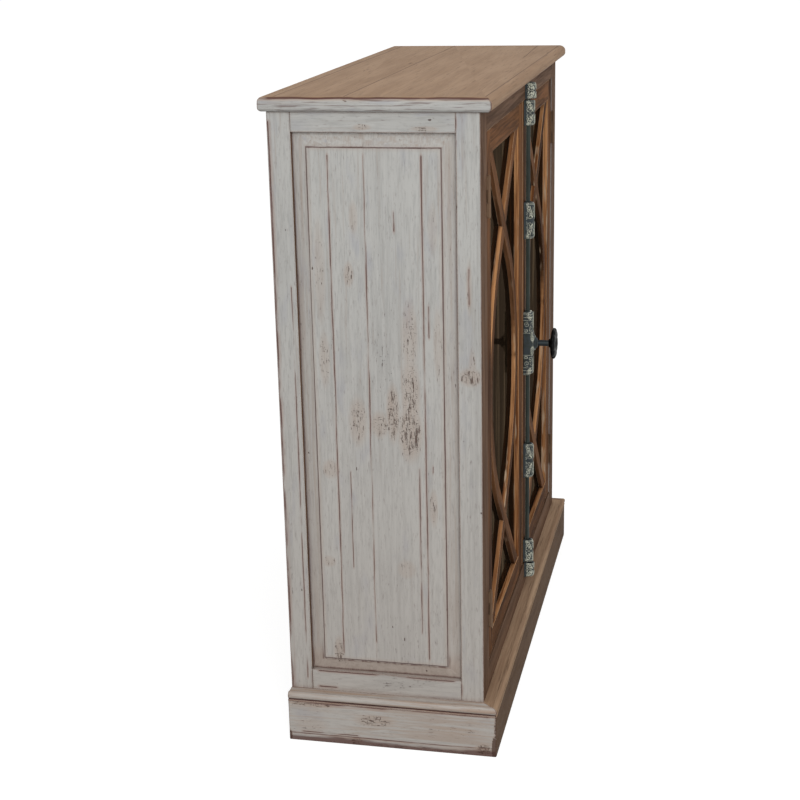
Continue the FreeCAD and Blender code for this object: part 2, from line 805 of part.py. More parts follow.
def rod_section(z):
    """Half-round rod outline at a height, flat towards the door."""
    half = rod_width / 2
    shoulder = rod_front - half
    x0, x1 = bolt_x - half, bolt_x + half
    start, end = Vector(x1, ahead(shoulder), z), Vector(x0, ahead(shoulder), z)
    edges = [Part.makeLine(end, Vector(x0, ahead(rod_stand_off), z)),
             Part.makeLine(Vector(x0, ahead(rod_stand_off), z), Vector(x1, ahead(rod_stand_off), z)),
             Part.makeLine(Vector(x1, ahead(rod_stand_off), z), start),
             Part.Arc(start, Vector(bolt_x, ahead(rod_front), z), end).toShape()]
    return Part.Face(Part.Wire(edges))


def bolt_rod(upward, tip_z):
    """A rod with a cranked rack tail. Both rods share the shape, turned half round the knob's axis."""
    length = abs(tip_z - bolt_z) - jog_distance
    rod = rod_section(bolt_z + jog_distance).extrude(Vector(0, 0, length))
    jog = block(bolt_x - rod_width / 2, bolt_x + rack_bar_reach, ahead(gear_back), ahead(gear_front),
                bolt_z + jog_distance, bolt_z + jog_distance + jog_height)
    teeth = [(bolt_x + x, bolt_z + z) for x, z in rack_outline()]
    rack = front_prism(teeth, ahead(gear_back), ahead(gear_front))
    whole = fused([rod, jog, rack])
    if not upward:
        whole.rotate(Vector(bolt_x, 0, bolt_z), Vector(0, 1, 0), math.degrees(math.pi))
    return whole


def axis_bar(start, end, radius):
    """A round bar on the knob's axis between two distances ahead of the door."""
    return rod_along(Vector(bolt_x, ahead(start), bolt_z), Vector(bolt_x, ahead(end), bolt_z), radius)


def pinion_shaft():
    """The spindle with its pinion cut in one piece."""
    teeth = [(bolt_x + x, bolt_z + z) for x, z in pinion_outline()]
    return fused([axis_bar(-journal_length, gear_back, journal_radius),
                  front_prism(teeth, ahead(gear_back), ahead(gear_front)),
                  axis_bar(gear_front, stem_start, shaft_radius),
                  axis_bar(stem_start, knob_back - knob_hub_height, stem_radius),
                  axis_bar(knob_back - knob_hub_height, knob_back + knob_socket_depth, journal_radius)])


def knob():
    """Round knob with scallops round its rim and a domed face."""
    points = [Vector(bolt_x + knob_radius * out, ahead(knob_back + knob_thickness * up), bolt_z)
              for out, up in knob_outline_shares]
    body = Part.Face(Part.makePolygon(points + points[:1])).revolve(
        Vector(bolt_x, 0, bolt_z), Vector(0, 1, 0), math.degrees(2 * math.pi))
    hub = axis_bar(knob_back - knob_hub_height, knob_back, knob_hub_radius)
    cuts = [axis_bar(knob_back - knob_hub_height, knob_back + knob_socket_depth, journal_radius)]
    reach = knob_radius + knob_scallop_radius - knob_scallop_depth
    for index in range(knob_lobe_count):
        turn = 2 * math.pi * (index + 1 / 2) / knob_lobe_count
        x, z = bolt_x + reach * math.cos(turn), bolt_z + reach * math.sin(turn)
        cuts.append(rod_along(Vector(x, ahead(knob_back - overrun), z),
                              Vector(x, ahead(knob_front + overrun), z), knob_scallop_radius))
    return fused([body, hub]).cut(cuts)


def rod_channel(z0, z1, clearance):
    """The space a rod slides in, open towards the door."""
    half = rod_width / 2 + clearance
    return block(bolt_x - half, bolt_x + half, ahead(-overrun), ahead(rod_front + clearance), z0, z1)


def bolt_case():
    """Cast cover, open at the back, that swells to a boss for the spindle, with a screw tab at each end."""
    half_w, half_h = bolt_case_width / 2, bolt_case_height / 2
    low, high = bolt_z - half_h, bolt_z + half_h
    body = block(bolt_x - half_w, bolt_x + half_w, ahead(0), ahead(bolt_case_thickness), low, high)
    face_y = ahead(bolt_case_thickness)
    front_edges = [e for e in body.Edges if all(abs(v.Y - face_y) < match_tolerance for v in e.Vertexes)]
    body = body.makeFillet(bolt_case_corner, front_edges)
    boss = Part.makeCone(boss_radius, boss_tip_radius, boss_height,
                         Vector(bolt_x, ahead(bolt_case_thickness), bolt_z), Vector(0, -1, 0))
    flare_view = [Vector(bolt_x - boss_radius, ahead(bolt_case_thickness + boss_height * up),
                         bolt_z + boss_reach * along) for along, up in boss_rise_shares]
    flare = prism(flare_view, Vector(2 * boss_radius, 0, 0))
    tabs = block(bolt_x - half_w, bolt_x + half_w, ahead(0), ahead(bolt_tab_thickness),
                 low - bolt_tab_length, high + bolt_tab_length)
    wall = bolt_case_wall
    room = block(bolt_x - half_w + wall, bolt_x + half_w - wall, ahead(-overrun),
                 ahead(bolt_case_thickness - wall), low + wall, high - wall)
    slots = rod_channel(low - bolt_tab_length - overrun, high + bolt_tab_length + overrun, rod_clearance)
    bore = axis_bar(0, stem_start + overrun, shaft_radius + running_clearance)
    return fused([body, boss, flare, tabs]).cut([room, slots, bore] + case_screws())


def case_screws():
    offset = bolt_case_height / 2 + bolt_tab_length - screw_end_inset
    return [screw(Vector(bolt_x + side * screw_side_offset, ahead(bolt_tab_thickness),
                         bolt_z + end * offset), Vector(0, 1, 0)) for side in (-1, 1) for end in (-1, 1)]


def guide(middle_z, height):
    """A saddle over a rod: a screw flange and a swelling body, both cut for the rod."""
    half = height / 2
    side_view = [Vector(bolt_x - guide_body_width / 2, ahead(guide_rise * up), middle_z + half * along)
                 for along, up in guide_rise_shares]
    body = prism(side_view, Vector(guide_body_width, 0, 0))
    flange = block(bolt_x - guide_width / 2, bolt_x + guide_width / 2,
                   ahead(0), ahead(guide_flange_thickness), middle_z - half, middle_z + half)
    channel = rod_channel(middle_z - half - overrun, middle_z + half + overrun, rod_clearance)
    return fused([body, flange]).cut([channel] + guide_screws(middle_z, height))


def guide_screws(middle_z, height):
    offset = height / 2 - screw_end_inset
    reach = guide_width / 2 - screw_head_radius
    return [screw(Vector(bolt_x + side * reach, ahead(guide_flange_thickness), middle_z + side * offset),
                  Vector(0, 1, 0)) for side in (-1, 1)]


def guide_places():
    """Middle heights and lengths of the two long guides and the two at the door's ends."""
    end_shift = guide_edge_gap + end_guide_height / 2
    return [(bolt_z + guide_spacing, guide_height), (bolt_z - guide_spacing, guide_height),
            (door_high - end_shift, end_guide_height), (door_low + end_shift, end_guide_height)]


def keeper(low, socket_low):
    """A block on the face frame with a socket for a rod's tip."""
    half = guide_body_width / 2
    face = door_recess
    body = block(bolt_x - half, bolt_x + half, ahead(face), ahead(guide_rise), low, low + keeper_height)
    flange = block(bolt_x - guide_width / 2, bolt_x + guide_width / 2, ahead(face),
                   ahead(face + guide_flange_thickness), low, low + keeper_height)
    socket = rod_channel(socket_low, socket_low + keeper_socket_depth, keeper_clearance)
    return fused([body, flange]).cut([socket] + keeper_screws(low))


def keeper_screws(low):
    middle = low + keeper_height / 2
    reach = guide_width / 2 - screw_head_radius
    return [screw(Vector(bolt_x + side * reach, ahead(door_recess + guide_flange_thickness), middle),
                  Vector(0, 1, 0)) for side in (-1, 1)]


keeper_top_low = door_opening_high + keeper_edge_gap
keeper_bottom_low = front_bottom_rail_top - keeper_edge_gap - keeper_height


def make_all():
    make_top()
    make_plinth()
    front_post, back_post = left_posts()
    save("front_left_post", front_post)
    save("front_right_post", mirrored(front_post))
    save("back_left_post", back_post)
    save("back_right_post", mirrored(back_post))
    rails = left_side_rails()
    save("left_side_rails", *rails)
    save("right_side_rails", *[mirrored(rail) for rail in rails])
    boards = left_panel_boards()
    save("left_panel", *boards)
    save("right_panel", *[mirrored(board) for board in boards])
    top_screws = keeper_screws(keeper_top_low)
    bottom_screws = keeper_screws(keeper_bottom_low)
    ledge = floor_board()
    save("front_top_rail", front_rail(front_top_span).cut(top_screws))
    save("front_bottom_rail", front_rail(front_bottom_span).cut(bottom_screws + [ledge]))
    save("back_rails", back_rail(back_top_span), back_rail(back_bottom_span))
    save("back_boards", *back_boards())
    save("floor_board", ledge)
    save("shelves", *shelves())
    save("shelf_cleats", *shelf_cleats())
    save("door_stop", door_stop())
    save("catch_magnet", catch_magnet())
    save("catch_plate", catch_plate())
    bolt_screws = case_screws()
    for middle_z, height in guide_places():
        bolt_screws += guide_screws(middle_z, height)
    journal_hole = axis_bar(-journal_length - journal_end_gap, 0, journal_radius + running_clearance)
    extra_cuts = {-1: [catch_plate()], 1: bolt_screws + [journal_hole]}
    for side, name in ((-1, "left"), (1, "right")):
        frame = door_frame(side, extra_cuts[side])
        for piece, solid in zip(("hinge_stile", "meeting_stile", "top_rail", "bottom_rail"), frame):
            save(name + "_door_" + piece, solid)
        save(name + "_door_glass", door_glass(side))
        save(name + "_door_glass_beads", *glass_beads(side))
        meeting_bow, hinge_bow = door_bows(side)
        save(name + "_door_meeting_bow", *meeting_bow)
        save(name + "_door_hinge_bow", *hinge_bow)
        save(name + "_hinge_leaves", *[door_leaf(side, low) for low in hinge_lows])
    sides = [(side, low) for side in (-1, 1) for low in hinge_lows]
    save("hinge_frame_leaves", *[frame_leaf(side, low) for side, low in sides])
    save("hinge_pins", *[hinge_pin(side, low) for side, low in sides])
    frame_screws = [s for side, low in sides for s in leaf_screws(side, low, side)]
    save("frame_screws", *(frame_screws + top_screws + bottom_screws))
    save("left_door_screws", *[s for low in hinge_lows for s in leaf_screws(-1, low, 1)])
    save("right_door_screws", *([s for low in hinge_lows for s in leaf_screws(1, low, -1)] + bolt_screws))
    save("bolt_case", bolt_case())
    save("pinion_shaft", pinion_shaft())
    save("knob", knob())
    save("upper_rod", bolt_rod(True, door_high + rod_tip_reach))
    save("lower_rod", bolt_rod(False, door_low - rod_tip_reach))
    save("rod_guides", *[guide(middle_z, height) for middle_z, height in guide_places()])
    save("rod_keepers", keeper(keeper_top_low, keeper_top_low),
         keeper(keeper_bottom_low, keeper_bottom_low + keeper_height - keeper_socket_depth))


make_all()
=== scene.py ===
"""Looks of a painted pine cabinet: worn white sides, stained front, crossing bows and a cast bolt."""

import math

import bpy
import numpy as np
from bpy.props import FloatProperty, FloatVectorProperty, IntProperty, PointerProperty
from mathutils import Matrix, Vector


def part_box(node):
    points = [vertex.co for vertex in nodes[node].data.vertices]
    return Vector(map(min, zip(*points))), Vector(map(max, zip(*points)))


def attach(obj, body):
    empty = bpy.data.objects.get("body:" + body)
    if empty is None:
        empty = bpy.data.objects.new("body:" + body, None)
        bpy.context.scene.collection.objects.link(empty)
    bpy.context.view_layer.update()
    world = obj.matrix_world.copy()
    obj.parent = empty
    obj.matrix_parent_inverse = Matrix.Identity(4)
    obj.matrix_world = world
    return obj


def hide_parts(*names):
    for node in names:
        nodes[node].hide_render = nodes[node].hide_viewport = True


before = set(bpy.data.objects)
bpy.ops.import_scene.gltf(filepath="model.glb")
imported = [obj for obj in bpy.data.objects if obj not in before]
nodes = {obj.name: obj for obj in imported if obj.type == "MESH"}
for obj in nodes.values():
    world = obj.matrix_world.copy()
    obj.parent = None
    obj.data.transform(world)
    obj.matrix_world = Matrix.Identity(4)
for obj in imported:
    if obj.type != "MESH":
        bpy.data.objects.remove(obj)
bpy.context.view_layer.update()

bl_info = {
    "name": "Painted cabinet",
    "version": (1, 0, 0),
    "blender": (4, 5, 0),
    "location": "View3D > Sidebar > Cabinet",
    "description": "Finishes, cast fittings and studio of a painted pine cabinet",
    "category": "Object",
}

MM = 0.001

# What the boxes of the CAD nodes do not tell of the panels, bows and back.
PANEL_TONGUE = 8.0 * MM
PANEL_BEVEL = 22.5 * MM
BOW_WIDTH = 24.5 * MM
BACK_BOARDS = 7

# How far the pattern of the grain moves from one board or bow to the next.
BOARD_SHIFT = 3.7
BOW_SHIFT = 9

SIDES = ("left", "right")
DOORS = ("left_door", "right_door")
POSTS = ("front_left_post", "front_right_post", "back_left_post", "back_right_post")

# Worn places of the sides, in millimetres: middle depth and height, half depth and height, strength.
WORN_PATCHES = (
    (-26, 600, 15, 75, 1.0),
    (-26, 700, 13, 60, 0.8),
    (-24, 545, 20, 48, 1.1),
    (3, 575, 11, 48, 1.1),
    (25, 556, 15, 22, 0.9),
    (60, 560, 15, 40, 0.9),
    (68, 797, 8, 20, 0.9),
    (58, 885, 7, 26, 0.7),
    (111, 660, 9, 45, 0.75),
    (114, 800, 9, 85, 0.6),
    (107, 478, 14, 16, 0.85),
    (116, 318, 12, 10, 0.75),
    (104, 155, 9, 28, 1.0),
    (-71, 690, 8, 60, 0.65),
    (-60, 420, 7, 32, 0.8),
    (-14, 312, 15, 16, 0.6),
    (-121, 640, 19, 15, 1.05),
    (-124, 655, 6, 30, 0.7),
    (-120, 780, 5, 45, 0.65),
    (-65, 870, 8, 40, 0.5),
    (40, 1022, 14, 5, 0.9),
    (-55, 1020, 22, 4, 0.9),
    (40, 47, 36, 12, 1.0),
    (-142, 12, 16, 10, 1.3),
    (72, 6, 12, 9, 1.2),
    (148, 68, 42, 5, 1.1),
    (0, 3, 160, 4, 0.95),
    (190, 8, 7, 12, 2.2),
    (-160, 14, 5, 24, 2.2),
    (-162, 50, 3, 30, 1.4),
    (-95, 40, 50, 8, 0.7),
    (150, 30, 30, 14, 0.6),
)

# Lines along the grain of the painted sides, in millimetres: place across, first and last point, half
# width. Each fades at its ends.
LINE_FADE = 12
UPRIGHT_LINES = (
    (185.8, 5, 1040, 1.2),
    (95.6, 145, 990, 0.55),
    (40.0, 170, 990, 0.5),
    (-48.6, 145, 990, 0.6),
    (-37.5, 190, 495, 0.6),
    (159.5, 95, 785, 0.5),
    (-5.0, 855, 905, 0.6),
    (-119.5, 745, 820, 0.6),
    (74.5, 300, 485, 0.4),
    (-60.5, 470, 500, 0.6),
    (-57.0, 690, 760, 0.6),
    (-102.0, 1012, 1045, 0.6),
    (-102.0, 86, 124, 0.6),
    (151.0, 86, 124, 0.6),
)
LEVEL_LINES = (
    (13.5, -158, 198, 0.6),
    (17.0, 60, 175, 0.5),
    # The lines at 70.8 and 71.2 mm run just under the plinth's cap: painted shadow of the cap, partly the
    # dark gap below it.
    (70.8, 10, 180, 1.0),
    (71.2, -160, 30, 0.5),
    (75.2, -160, 198, 0.6),
    (119.0, -100, 150, 0.7),
    (91.0, 100, 150, 0.8),
)

# Marks on the top, in millimetres: place across and in depth, half length, half width, strength.
TOP_MARKS = (
    (-53, 131, 26, 5, 1.0),
    (60, 75, 60, 7, 0.8),
    (158, -80, 34, 5, 0.9),
    (-100, -30, 70, 6, 0.5),
    (165, 122, 40, 5, 0.6),
    (250, -60, 60, 5, 0.5),
    (-260, 100, 50, 5, 0.4),
    (-330, -60, 60, 6, 0.35),
)
# A slanted dark line on the front of the top, in millimetres: place across and in depth at each end.
TOP_SLANTED_LINE = ((207, -112.0), (459, -103.3))

# The studio, in metres but for the camera's sensor, which is in millimetres.
KEY_PLACE, KEY_SIZE = (-3.6, -1.0, 2.2), 2.4
FILL_PLACE, FILL_SIZE = (0.8, -4.0, 2.2), 3.0
LIGHT_AIM = (0, 0, 0.55)
FLOOR_REACH = 30
FLOOR_GLOW = 0.84
SENSOR_WIDTH = 36


def srgb(red, green, blue):
    """Linear colour of a screen colour given from 0 to 255."""
    shares = (channel / 255 for channel in (red, green, blue))
    return tuple(s / 12.92 if s <= 0.04045 else ((s + 0.055) / 1.055) ** 2.4 for s in shares)


def colour_of(name, red, green, blue, words):
    """A colour property with a screen colour as its default."""
    return FloatVectorProperty(
        name=name, description=words, default=srgb(red, green, blue), subtype="COLOR", size=3, min=0, max=1
    )


def length_of(name, millimetres, words):
    """A length property with its default in millimetres."""
    return FloatProperty(name=name, description=words, default=millimetres * MM, unit="LENGTH")


class PaintLook(bpy.types.PropertyGroup):
    """Colours of the worn white paint."""

    coat: colour_of("Coat", 189, 188, 184, "Top coat of paint")
    shade: colour_of("Shade", 165, 164, 161, "Thin and dirty paint")
    cool: colour_of("Cool", 158, 159, 168, "Bluish stains in the paint")
    # Warm also stands for painted shade in corners and near the borders of a panel's bevel.
    warm: colour_of("Warm", 174, 154, 139, "Paint rubbed thin along the mouldings")
    rust: colour_of("Rust", 156, 122, 108, "Brown showing beside the joints")
    # Line also stands for painted shade deep in corners.
    line: colour_of("Line", 94, 64, 59, "Glaze left in joints and corners")
    bare: colour_of("Bare", 80, 60, 52, "Wood where the paint is gone")


class StainLook(bpy.types.PropertyGroup):
    """Colours of the stained wood, a dark and a light tone each."""

    frame_dark: colour_of("Frame dark", 84, 62, 48, "Dark grain of the front frame")
    frame_light: colour_of("Frame light", 136, 108, 88, "Light grain of the front frame")
    door_dark: colour_of("Door dark", 56, 35, 22, "Dark grain of the doors")
    door_light: colour_of("Door light", 142, 99, 67, "Light grain of the doors")
    edge_dark: colour_of("Edge dark", 118, 72, 42, "Dark grain of the sawn edges")
    edge_light: colour_of("Edge light", 234, 172, 118, "Light grain of the sawn edges")
    worn: colour_of("Worn", 212, 186, 156, "Pale remains along worn edges")
    top_dark: colour_of("Top dark", 160, 130, 104, "Dark grain of the top")
    top_light: colour_of("Top light", 180, 150, 123, "Light grain of the top")
    plinth_dark: colour_of("Plinth dark", 94, 74, 59, "Dark grain of the plinth's front")
    plinth_light: colour_of("Plinth light", 120, 97, 78, "Light grain of the plinth's front")
    cap_dark: colour_of("Cap dark", 146, 118, 95, "Dark grain of the plinth's moulding")
    cap_light: colour_of("Cap light", 192, 163, 135, "Light grain of the plinth's moulding")
    back_dark: colour_of("Back dark", 92, 70, 52, "Dark grain of the back boards")
    back_light: colour_of("Back light", 146, 116, 88, "Light grain of the back boards")
    inner_dark: colour_of("Inner dark", 40, 28, 20, "Dark grain inside the cabinet")
    inner_light: colour_of("Inner light", 74, 54, 39, "Light grain inside the cabinet")


class IronLook(bpy.types.PropertyGroup):
    """Colours of the cast and turned metal."""

    ground: colour_of("Ground", 62, 69, 72, "Dark iron in the hollows")
    pewter: colour_of("Pewter", 202, 204, 187, "Rubbed high spots")
    rod: colour_of("Rod", 56, 62, 58, "Bolt rods")
    black: colour_of("Black", 11, 11, 12, "Knob")
    steel: colour_of("Steel", 120, 118, 112, "Screws and catch")


class GlassLook(bpy.types.PropertyGroup):
    """Old glass in the doors."""

    tint: colour_of("Tint", 122, 117, 104, "Colour of light that passes")
    mirror: colour_of("Mirror", 58, 48, 38, "Colour of what it reflects")
    sheen: colour_of("Sheen", 106, 90, 70, "Brighter streaks in what it reflects")
    haze: colour_of("Haze", 66, 52, 40, "Old film on the glass")
    index: FloatProperty(name="Index", description="Index of refraction", default=1.45, min=1.0, max=2.0)


class CastSizes(bpy.types.PropertyGroup):
    """Sizes of the relief on the cast fittings."""

    relief: length_of("Relief", 1.5, "Height of the scrolls")
    stem: length_of("Stem", 0.62, "Half width of a scroll")
    petals: IntProperty(name="Petals", description="Petals round the knob", default=10, min=5)
    notch: length_of("Notch", 3.0, "Depth between two petals")


class StudioLook(bpy.types.PropertyGroup):
    """Camera and light."""

    eye: FloatVectorProperty(
        name="Eye",
        description="Place of the camera",
        default=(-2.7593, -0.5166, 1.3193),
        subtype="TRANSLATION",
    )
    yaw: FloatProperty(name="Yaw", description="Turn from the X axis", default=0.218, subtype="ANGLE")
    pitch: FloatProperty(name="Pitch", description="Tilt above level", default=-0.2978, subtype="ANGLE")
    roll: FloatProperty(name="Roll", description="Lean about the view", default=-0.0221, subtype="ANGLE")
    lens: FloatProperty(name="Lens", description="Focal length in mm on a 36 mm frame", default=70.71)
    ambient: FloatProperty(name="Ambient", description="Light from all round", default=0.55, min=0)
    key: FloatProperty(name="Key", description="Power of the key light", default=66.0, unit="POWER")
    fill: FloatProperty(name="Fill", description="Power of the fill light", default=12.0, unit="POWER")


class CabinetLooks(bpy.types.PropertyGroup):
    """All that a user would change."""

    paint: PointerProperty(type=PaintLook)
    stain: PointerProperty(type=StainLook)
    iron: PointerProperty(type=IronLook)
    glass: PointerProperty(type=GlassLook)
    cast: PointerProperty(type=CastSizes)
    studio: PointerProperty(type=StudioLook)


def joined(operation, reflected=False):
    """An operator of socket values that adds a Math node."""

    def join(first, second):
        return first.math(operation, *((second, first) if reflected else (first, second)))

    return join


class Value:
    """A shader socket that joins in sums: each operator adds a Math node."""

    def __init__(self, finish, socket):
        self.finish = finish
        self.socket = socket

    def output(self, name):
        return Value(self.finish, self.socket.node.outputs[name])

    def math(self, operation, *values):
        return self.finish.node("Math", {"operation": operation}, dict(enumerate(values)))

    __add__, __radd__ = joined("ADD"), joined("ADD", True)
    __sub__, __rsub__ = joined("SUBTRACT"), joined("SUBTRACT", True)
    __mul__, __rmul__ = joined("MULTIPLY"), joined("MULTIPLY", True)
    __truediv__, __rtruediv__ = joined("DIVIDE"), joined("DIVIDE", True)
    __or__, __ror__ = joined("MAXIMUM"), joined("MAXIMUM", True)

    def __abs__(self):
        return self.math("ABSOLUTE", self)


class Layer:
    """One coat of a finish: its colour, roughness and height."""

    def __init__(self, colour, roughness, height):
        self.colour = colour
        self.roughness = roughness
        self.height = height


class Finish:
    """A node tree under construction, with the few patterns that the finishes share."""

    def __init__(self, owner, ending):
        owner.use_nodes = True
        self.owner = owner
        self.tree = owner.node_tree
        self.tree.nodes.clear()
        self.ending = self.tree.nodes.new(ending)
        self.kept = {}
        self.grain_place = None

    def node(self, kind, settings=None, sockets=None):
        """Adds a shader node, sets it, then gives its sockets their values or links."""
        made = self.tree.nodes.new("ShaderNode" + kind)
        for name, setting in (settings or {}).items():
            setattr(made, name, setting)
        for name, value in (sockets or {}).items():
            if isinstance(value, Value):
                self.tree.links.new(value.socket, made.inputs[name])
            else:
                made.inputs[name].default_value = value
        return Value(self, made.outputs[0])

    def end(self, shader):
        self.tree.links.new(shader.socket, self.ending.inputs["Surface"])
        return self.owner

    def place(self):
        return self.node("TexCoord").output("Object")

    def parts(self, vector):
        split = self.node("SeparateXYZ", None, {0: vector})
        return [split.output(axis) for axis in "XYZ"]

    def spot(self):
        return self.parts(self.place())

    def facing(self):
        return self.parts(self.node("TexCoord").output("Normal"))

    def flat_facing(self):
        """Where each face itself looks, with no smoothing between faces."""
        flat = self.node("NewGeometry").output("True Normal")
        settings = {"vector_type": "NORMAL", "convert_from": "WORLD", "convert_to": "OBJECT"}
        return self.parts(self.node("VectorTransform", settings, {0: flat}))

    def stretched(self, along, share, shift=0.0):
        """Places squeezed along the grain, so that a pattern runs with it, and moved for each board."""
        if self.grain_place:
            place, offset = self.grain_place, (shift, shift, shift)
        else:
            board = self.node("NewGeometry").output("Random Per Island")
            place, offset = self.place(), board * BOARD_SHIFT + shift
        moved = self.node("VectorMath", {"operation": "ADD"}, {0: place, 1: offset})
        scale = [share if axis == along else 1.0 for axis in "XYZ"]
        return self.node("VectorMath", {"operation": "MULTIPLY"}, {0: moved, 1: scale})

    def bend(self, low, high, bulge):
        """Makes the grain follow the bow in a box: round for an eighth of a turn each way, then straight."""
        diagonal = math.sqrt(0.5)
        radius = ((high.z - low.z) / 2 - (high.x - low.x - BOW_WIDTH / diagonal)) / (1 / diagonal - 1)
        middle = (high.x if bulge > 0 else low.x) - bulge * radius
        across, depth, height = self.spot()
        out = (across - middle) * bulge
        level = height - (low.z + high.z) / 2
        up = abs(level)
        square = out * out + up * up
        beyond = up.math("GREATER_THAN", up, out)
        reach = square.math("SQRT", square)
        reach = reach + ((up + out) * diagonal - reach) * beyond
        run = up.math("ARCTAN2", up, out) * radius
        run = run + ((up - out) * diagonal + radius * math.pi / 4 - run) * beyond
        run = run * level.math("SIGN", level) + middle * BOW_SHIFT
        self.grain_place = self.node("CombineXYZ", None, {0: reach, 1: depth, 2: run})

    def noise(self, vector, scale, detail=2.0, rough=0.5):
        sockets = {"Vector": vector, "Scale": scale, "Detail": detail, "Roughness": rough}
        return self.node("TexNoise", None, sockets)

    def grain(self, along, share, scale, detail=2.0, rough=0.5, shift=0.0):
        """Noise that runs with the grain, longer the smaller its share."""
        return self.noise(self.stretched(along, share, shift), scale, detail, rough)

    def rise(self, value, low, high):
        """Smooth step from 0 at low to 1 at high."""
        sockets = {"Value": value, "From Min": low, "From Max": high}
        return self.node("MapRange", {"interpolation_type": "SMOOTHSTEP"}, sockets)

    def near(self, distance, inner, outer):
        """1 within the inner millimetres of a place, 0 beyond the outer ones."""
        return 1 - self.rise(abs(distance), inner * MM, outer * MM)

    def mix(self, share, first, second):
        colours = [value if isinstance(value, Value) else (*value, 1) for value in (first, second)]
        sockets = {0: share, 6: colours[0], 7: colours[1]}
        made = self.node("Mix", {"data_type": "RGBA"}, sockets)
        return Value(self, made.socket.node.outputs[2])

    def edges(self, radius):
        """How far the surface turns within the radius: 0 on flats, about 0.3 on square edges."""
        if ("edges", radius) not in self.kept:
            rounded = self.node("Bevel", {"samples": 6}, {"Radius": radius})
            flat = self.node("NewGeometry").output("Normal")
            settings = {"operation": "DOT_PRODUCT"}
            likeness = self.node("VectorMath", settings, {0: rounded, 1: flat})
            self.kept["edges", radius] = 1 - likeness.output("Value")
        return self.kept["edges", radius]

    def corners(self, reach):
        """How far other surfaces close a place in: 0 in the open, about 0.5 in a square corner."""
        if ("corners", reach) not in self.kept:
            opening = self.node("AmbientOcclusion", {"samples": 6}, {"Distance": reach})
            self.kept["corners", reach] = 1 - opening.output("AO")
        return self.kept["corners", reach]

    def over(self, share, under, upper):
        """The upper layer laid on the under one where share is 1."""
        return Layer(
            self.mix(share, under.colour, upper.colour),
            under.roughness + (upper.roughness - under.roughness) * share,
            under.height + (upper.height - under.height) * share,
        )

    def surface(self, layer, depth, metallic=0.0, gloss=0.01):
        bump = self.node("Bump", None, {"Distance": depth, "Height": layer.height})
        sockets = {
            "Base Color": layer.colour,
            "Roughness": layer.roughness,
            "Metallic": metallic,
            "Specular IOR Level": gloss,
            "Normal": bump,
        }
        return self.end(self.node("BsdfPrincipled", None, sockets))


def new_finish(name):
    return Finish(bpy.data.materials.new(name), "ShaderNodeOutputMaterial")


def wood_layer(finish, along, dark, light, wear=0.5, shift=0.0, rubbed=None, streak=0.0, edge=3.5 * MM):
    """Stained pine: fibres, bands, pores and streaks, stain and painted shade in corners, pale worn edges,
    dark low down.
    """
    fibres = finish.grain(along, 0.03, 260, 4, 0.6, shift=shift)
    bands = finish.grain(along, 0.09, 34, 3, 0.55, shift=shift)
    clouds = finish.grain(along, 0.5, 7, 2, shift=shift)
    pores = finish.rise(finish.grain(along, 0.04, 420, 2, shift=shift), 0.60, 0.72)
    # Painted shade, partly stain: the wood is darkened where other surfaces close it in.
    glaze_and_corner_shade = finish.rise(finish.corners(16 * MM), 0.28, 0.80)
    rub = finish.rise(finish.edges(edge) + (clouds - 0.5) * 0.4 + (fibres - 0.5) * 0.4, 0.10, 0.26)
    tone = finish.rise(fibres * 0.6 + bands * 0.7 + clouds * 0.3, 0.60, 1.0)
    low = 1 - finish.rise(finish.spot()[2], 0.0, 0.85)
    colour = finish.mix(tone, dark, light)
    darker = low * 0.35
    if streak:
        veins = finish.grain(along, 0.015, 230, 3, 0.6, shift=shift + 9)
        darker = darker | finish.rise(veins, 0.53, 0.64) * streak
    colour = finish.mix(darker, colour, dark)
    colour = finish.mix(pores * 0.5 | glaze_and_corner_shade * 0.6, colour, [channel * 0.4 for channel in dark])
    colour = finish.mix(rub * wear, colour, rubbed or light)
    return Layer(colour, 0.5 + fibres * 0.22, fibres * 0.7 + bands * 0.5 - pores * 0.5)


def stained_pine(name, along, dark, light, wear=0.5):
    """A finish of stained pine and nothing else."""
    finish = new_finish(name)
    return finish.surface(wood_layer(finish, along, dark, light, wear), 0.8 * MM)


def ellipse(finish, across, upward, patch):
    """1 inside a patch, fading to 0 at its border."""
    middle_a, middle_b, half_a, half_b, strength = patch
    first = (across - middle_a * MM) / (half_a * MM)
    second = (upward - middle_b * MM) / (half_b * MM)
    return (1 - finish.rise(first * first + second * second, 0.25, 1.5)) * strength


def thin_line(finish, across, along, line):
    """1 on a thin line along the grain, falling to 0 at eight times its half width and at its ends."""
    place, low, high, half = line
    near = 1 - abs(across - place * MM) / (8 * half * MM)
    begun = finish.rise(along, low * MM, (low + LINE_FADE) * MM)
    ended = finish.rise(along, (high - LINE_FADE) * MM, high * MM)
    return near * (begun * (1 - ended))


def highest(values):
    """The largest of several socket values."""
    best = values[0]
    for value in values[1:]:
        best = best | value
    return best


def outside(depth, height, low, high, inset):
    """How far a place lies outside a rectangle in depth and height: below 0 inside it."""
    across = abs(depth - (low.y + high.y) / 2) - ((high.y - low.y) / 2 - inset)
    upward = abs(height - (low.z + high.z) / 2) - ((high.z - low.z) / 2 - inset)
    return across | upward


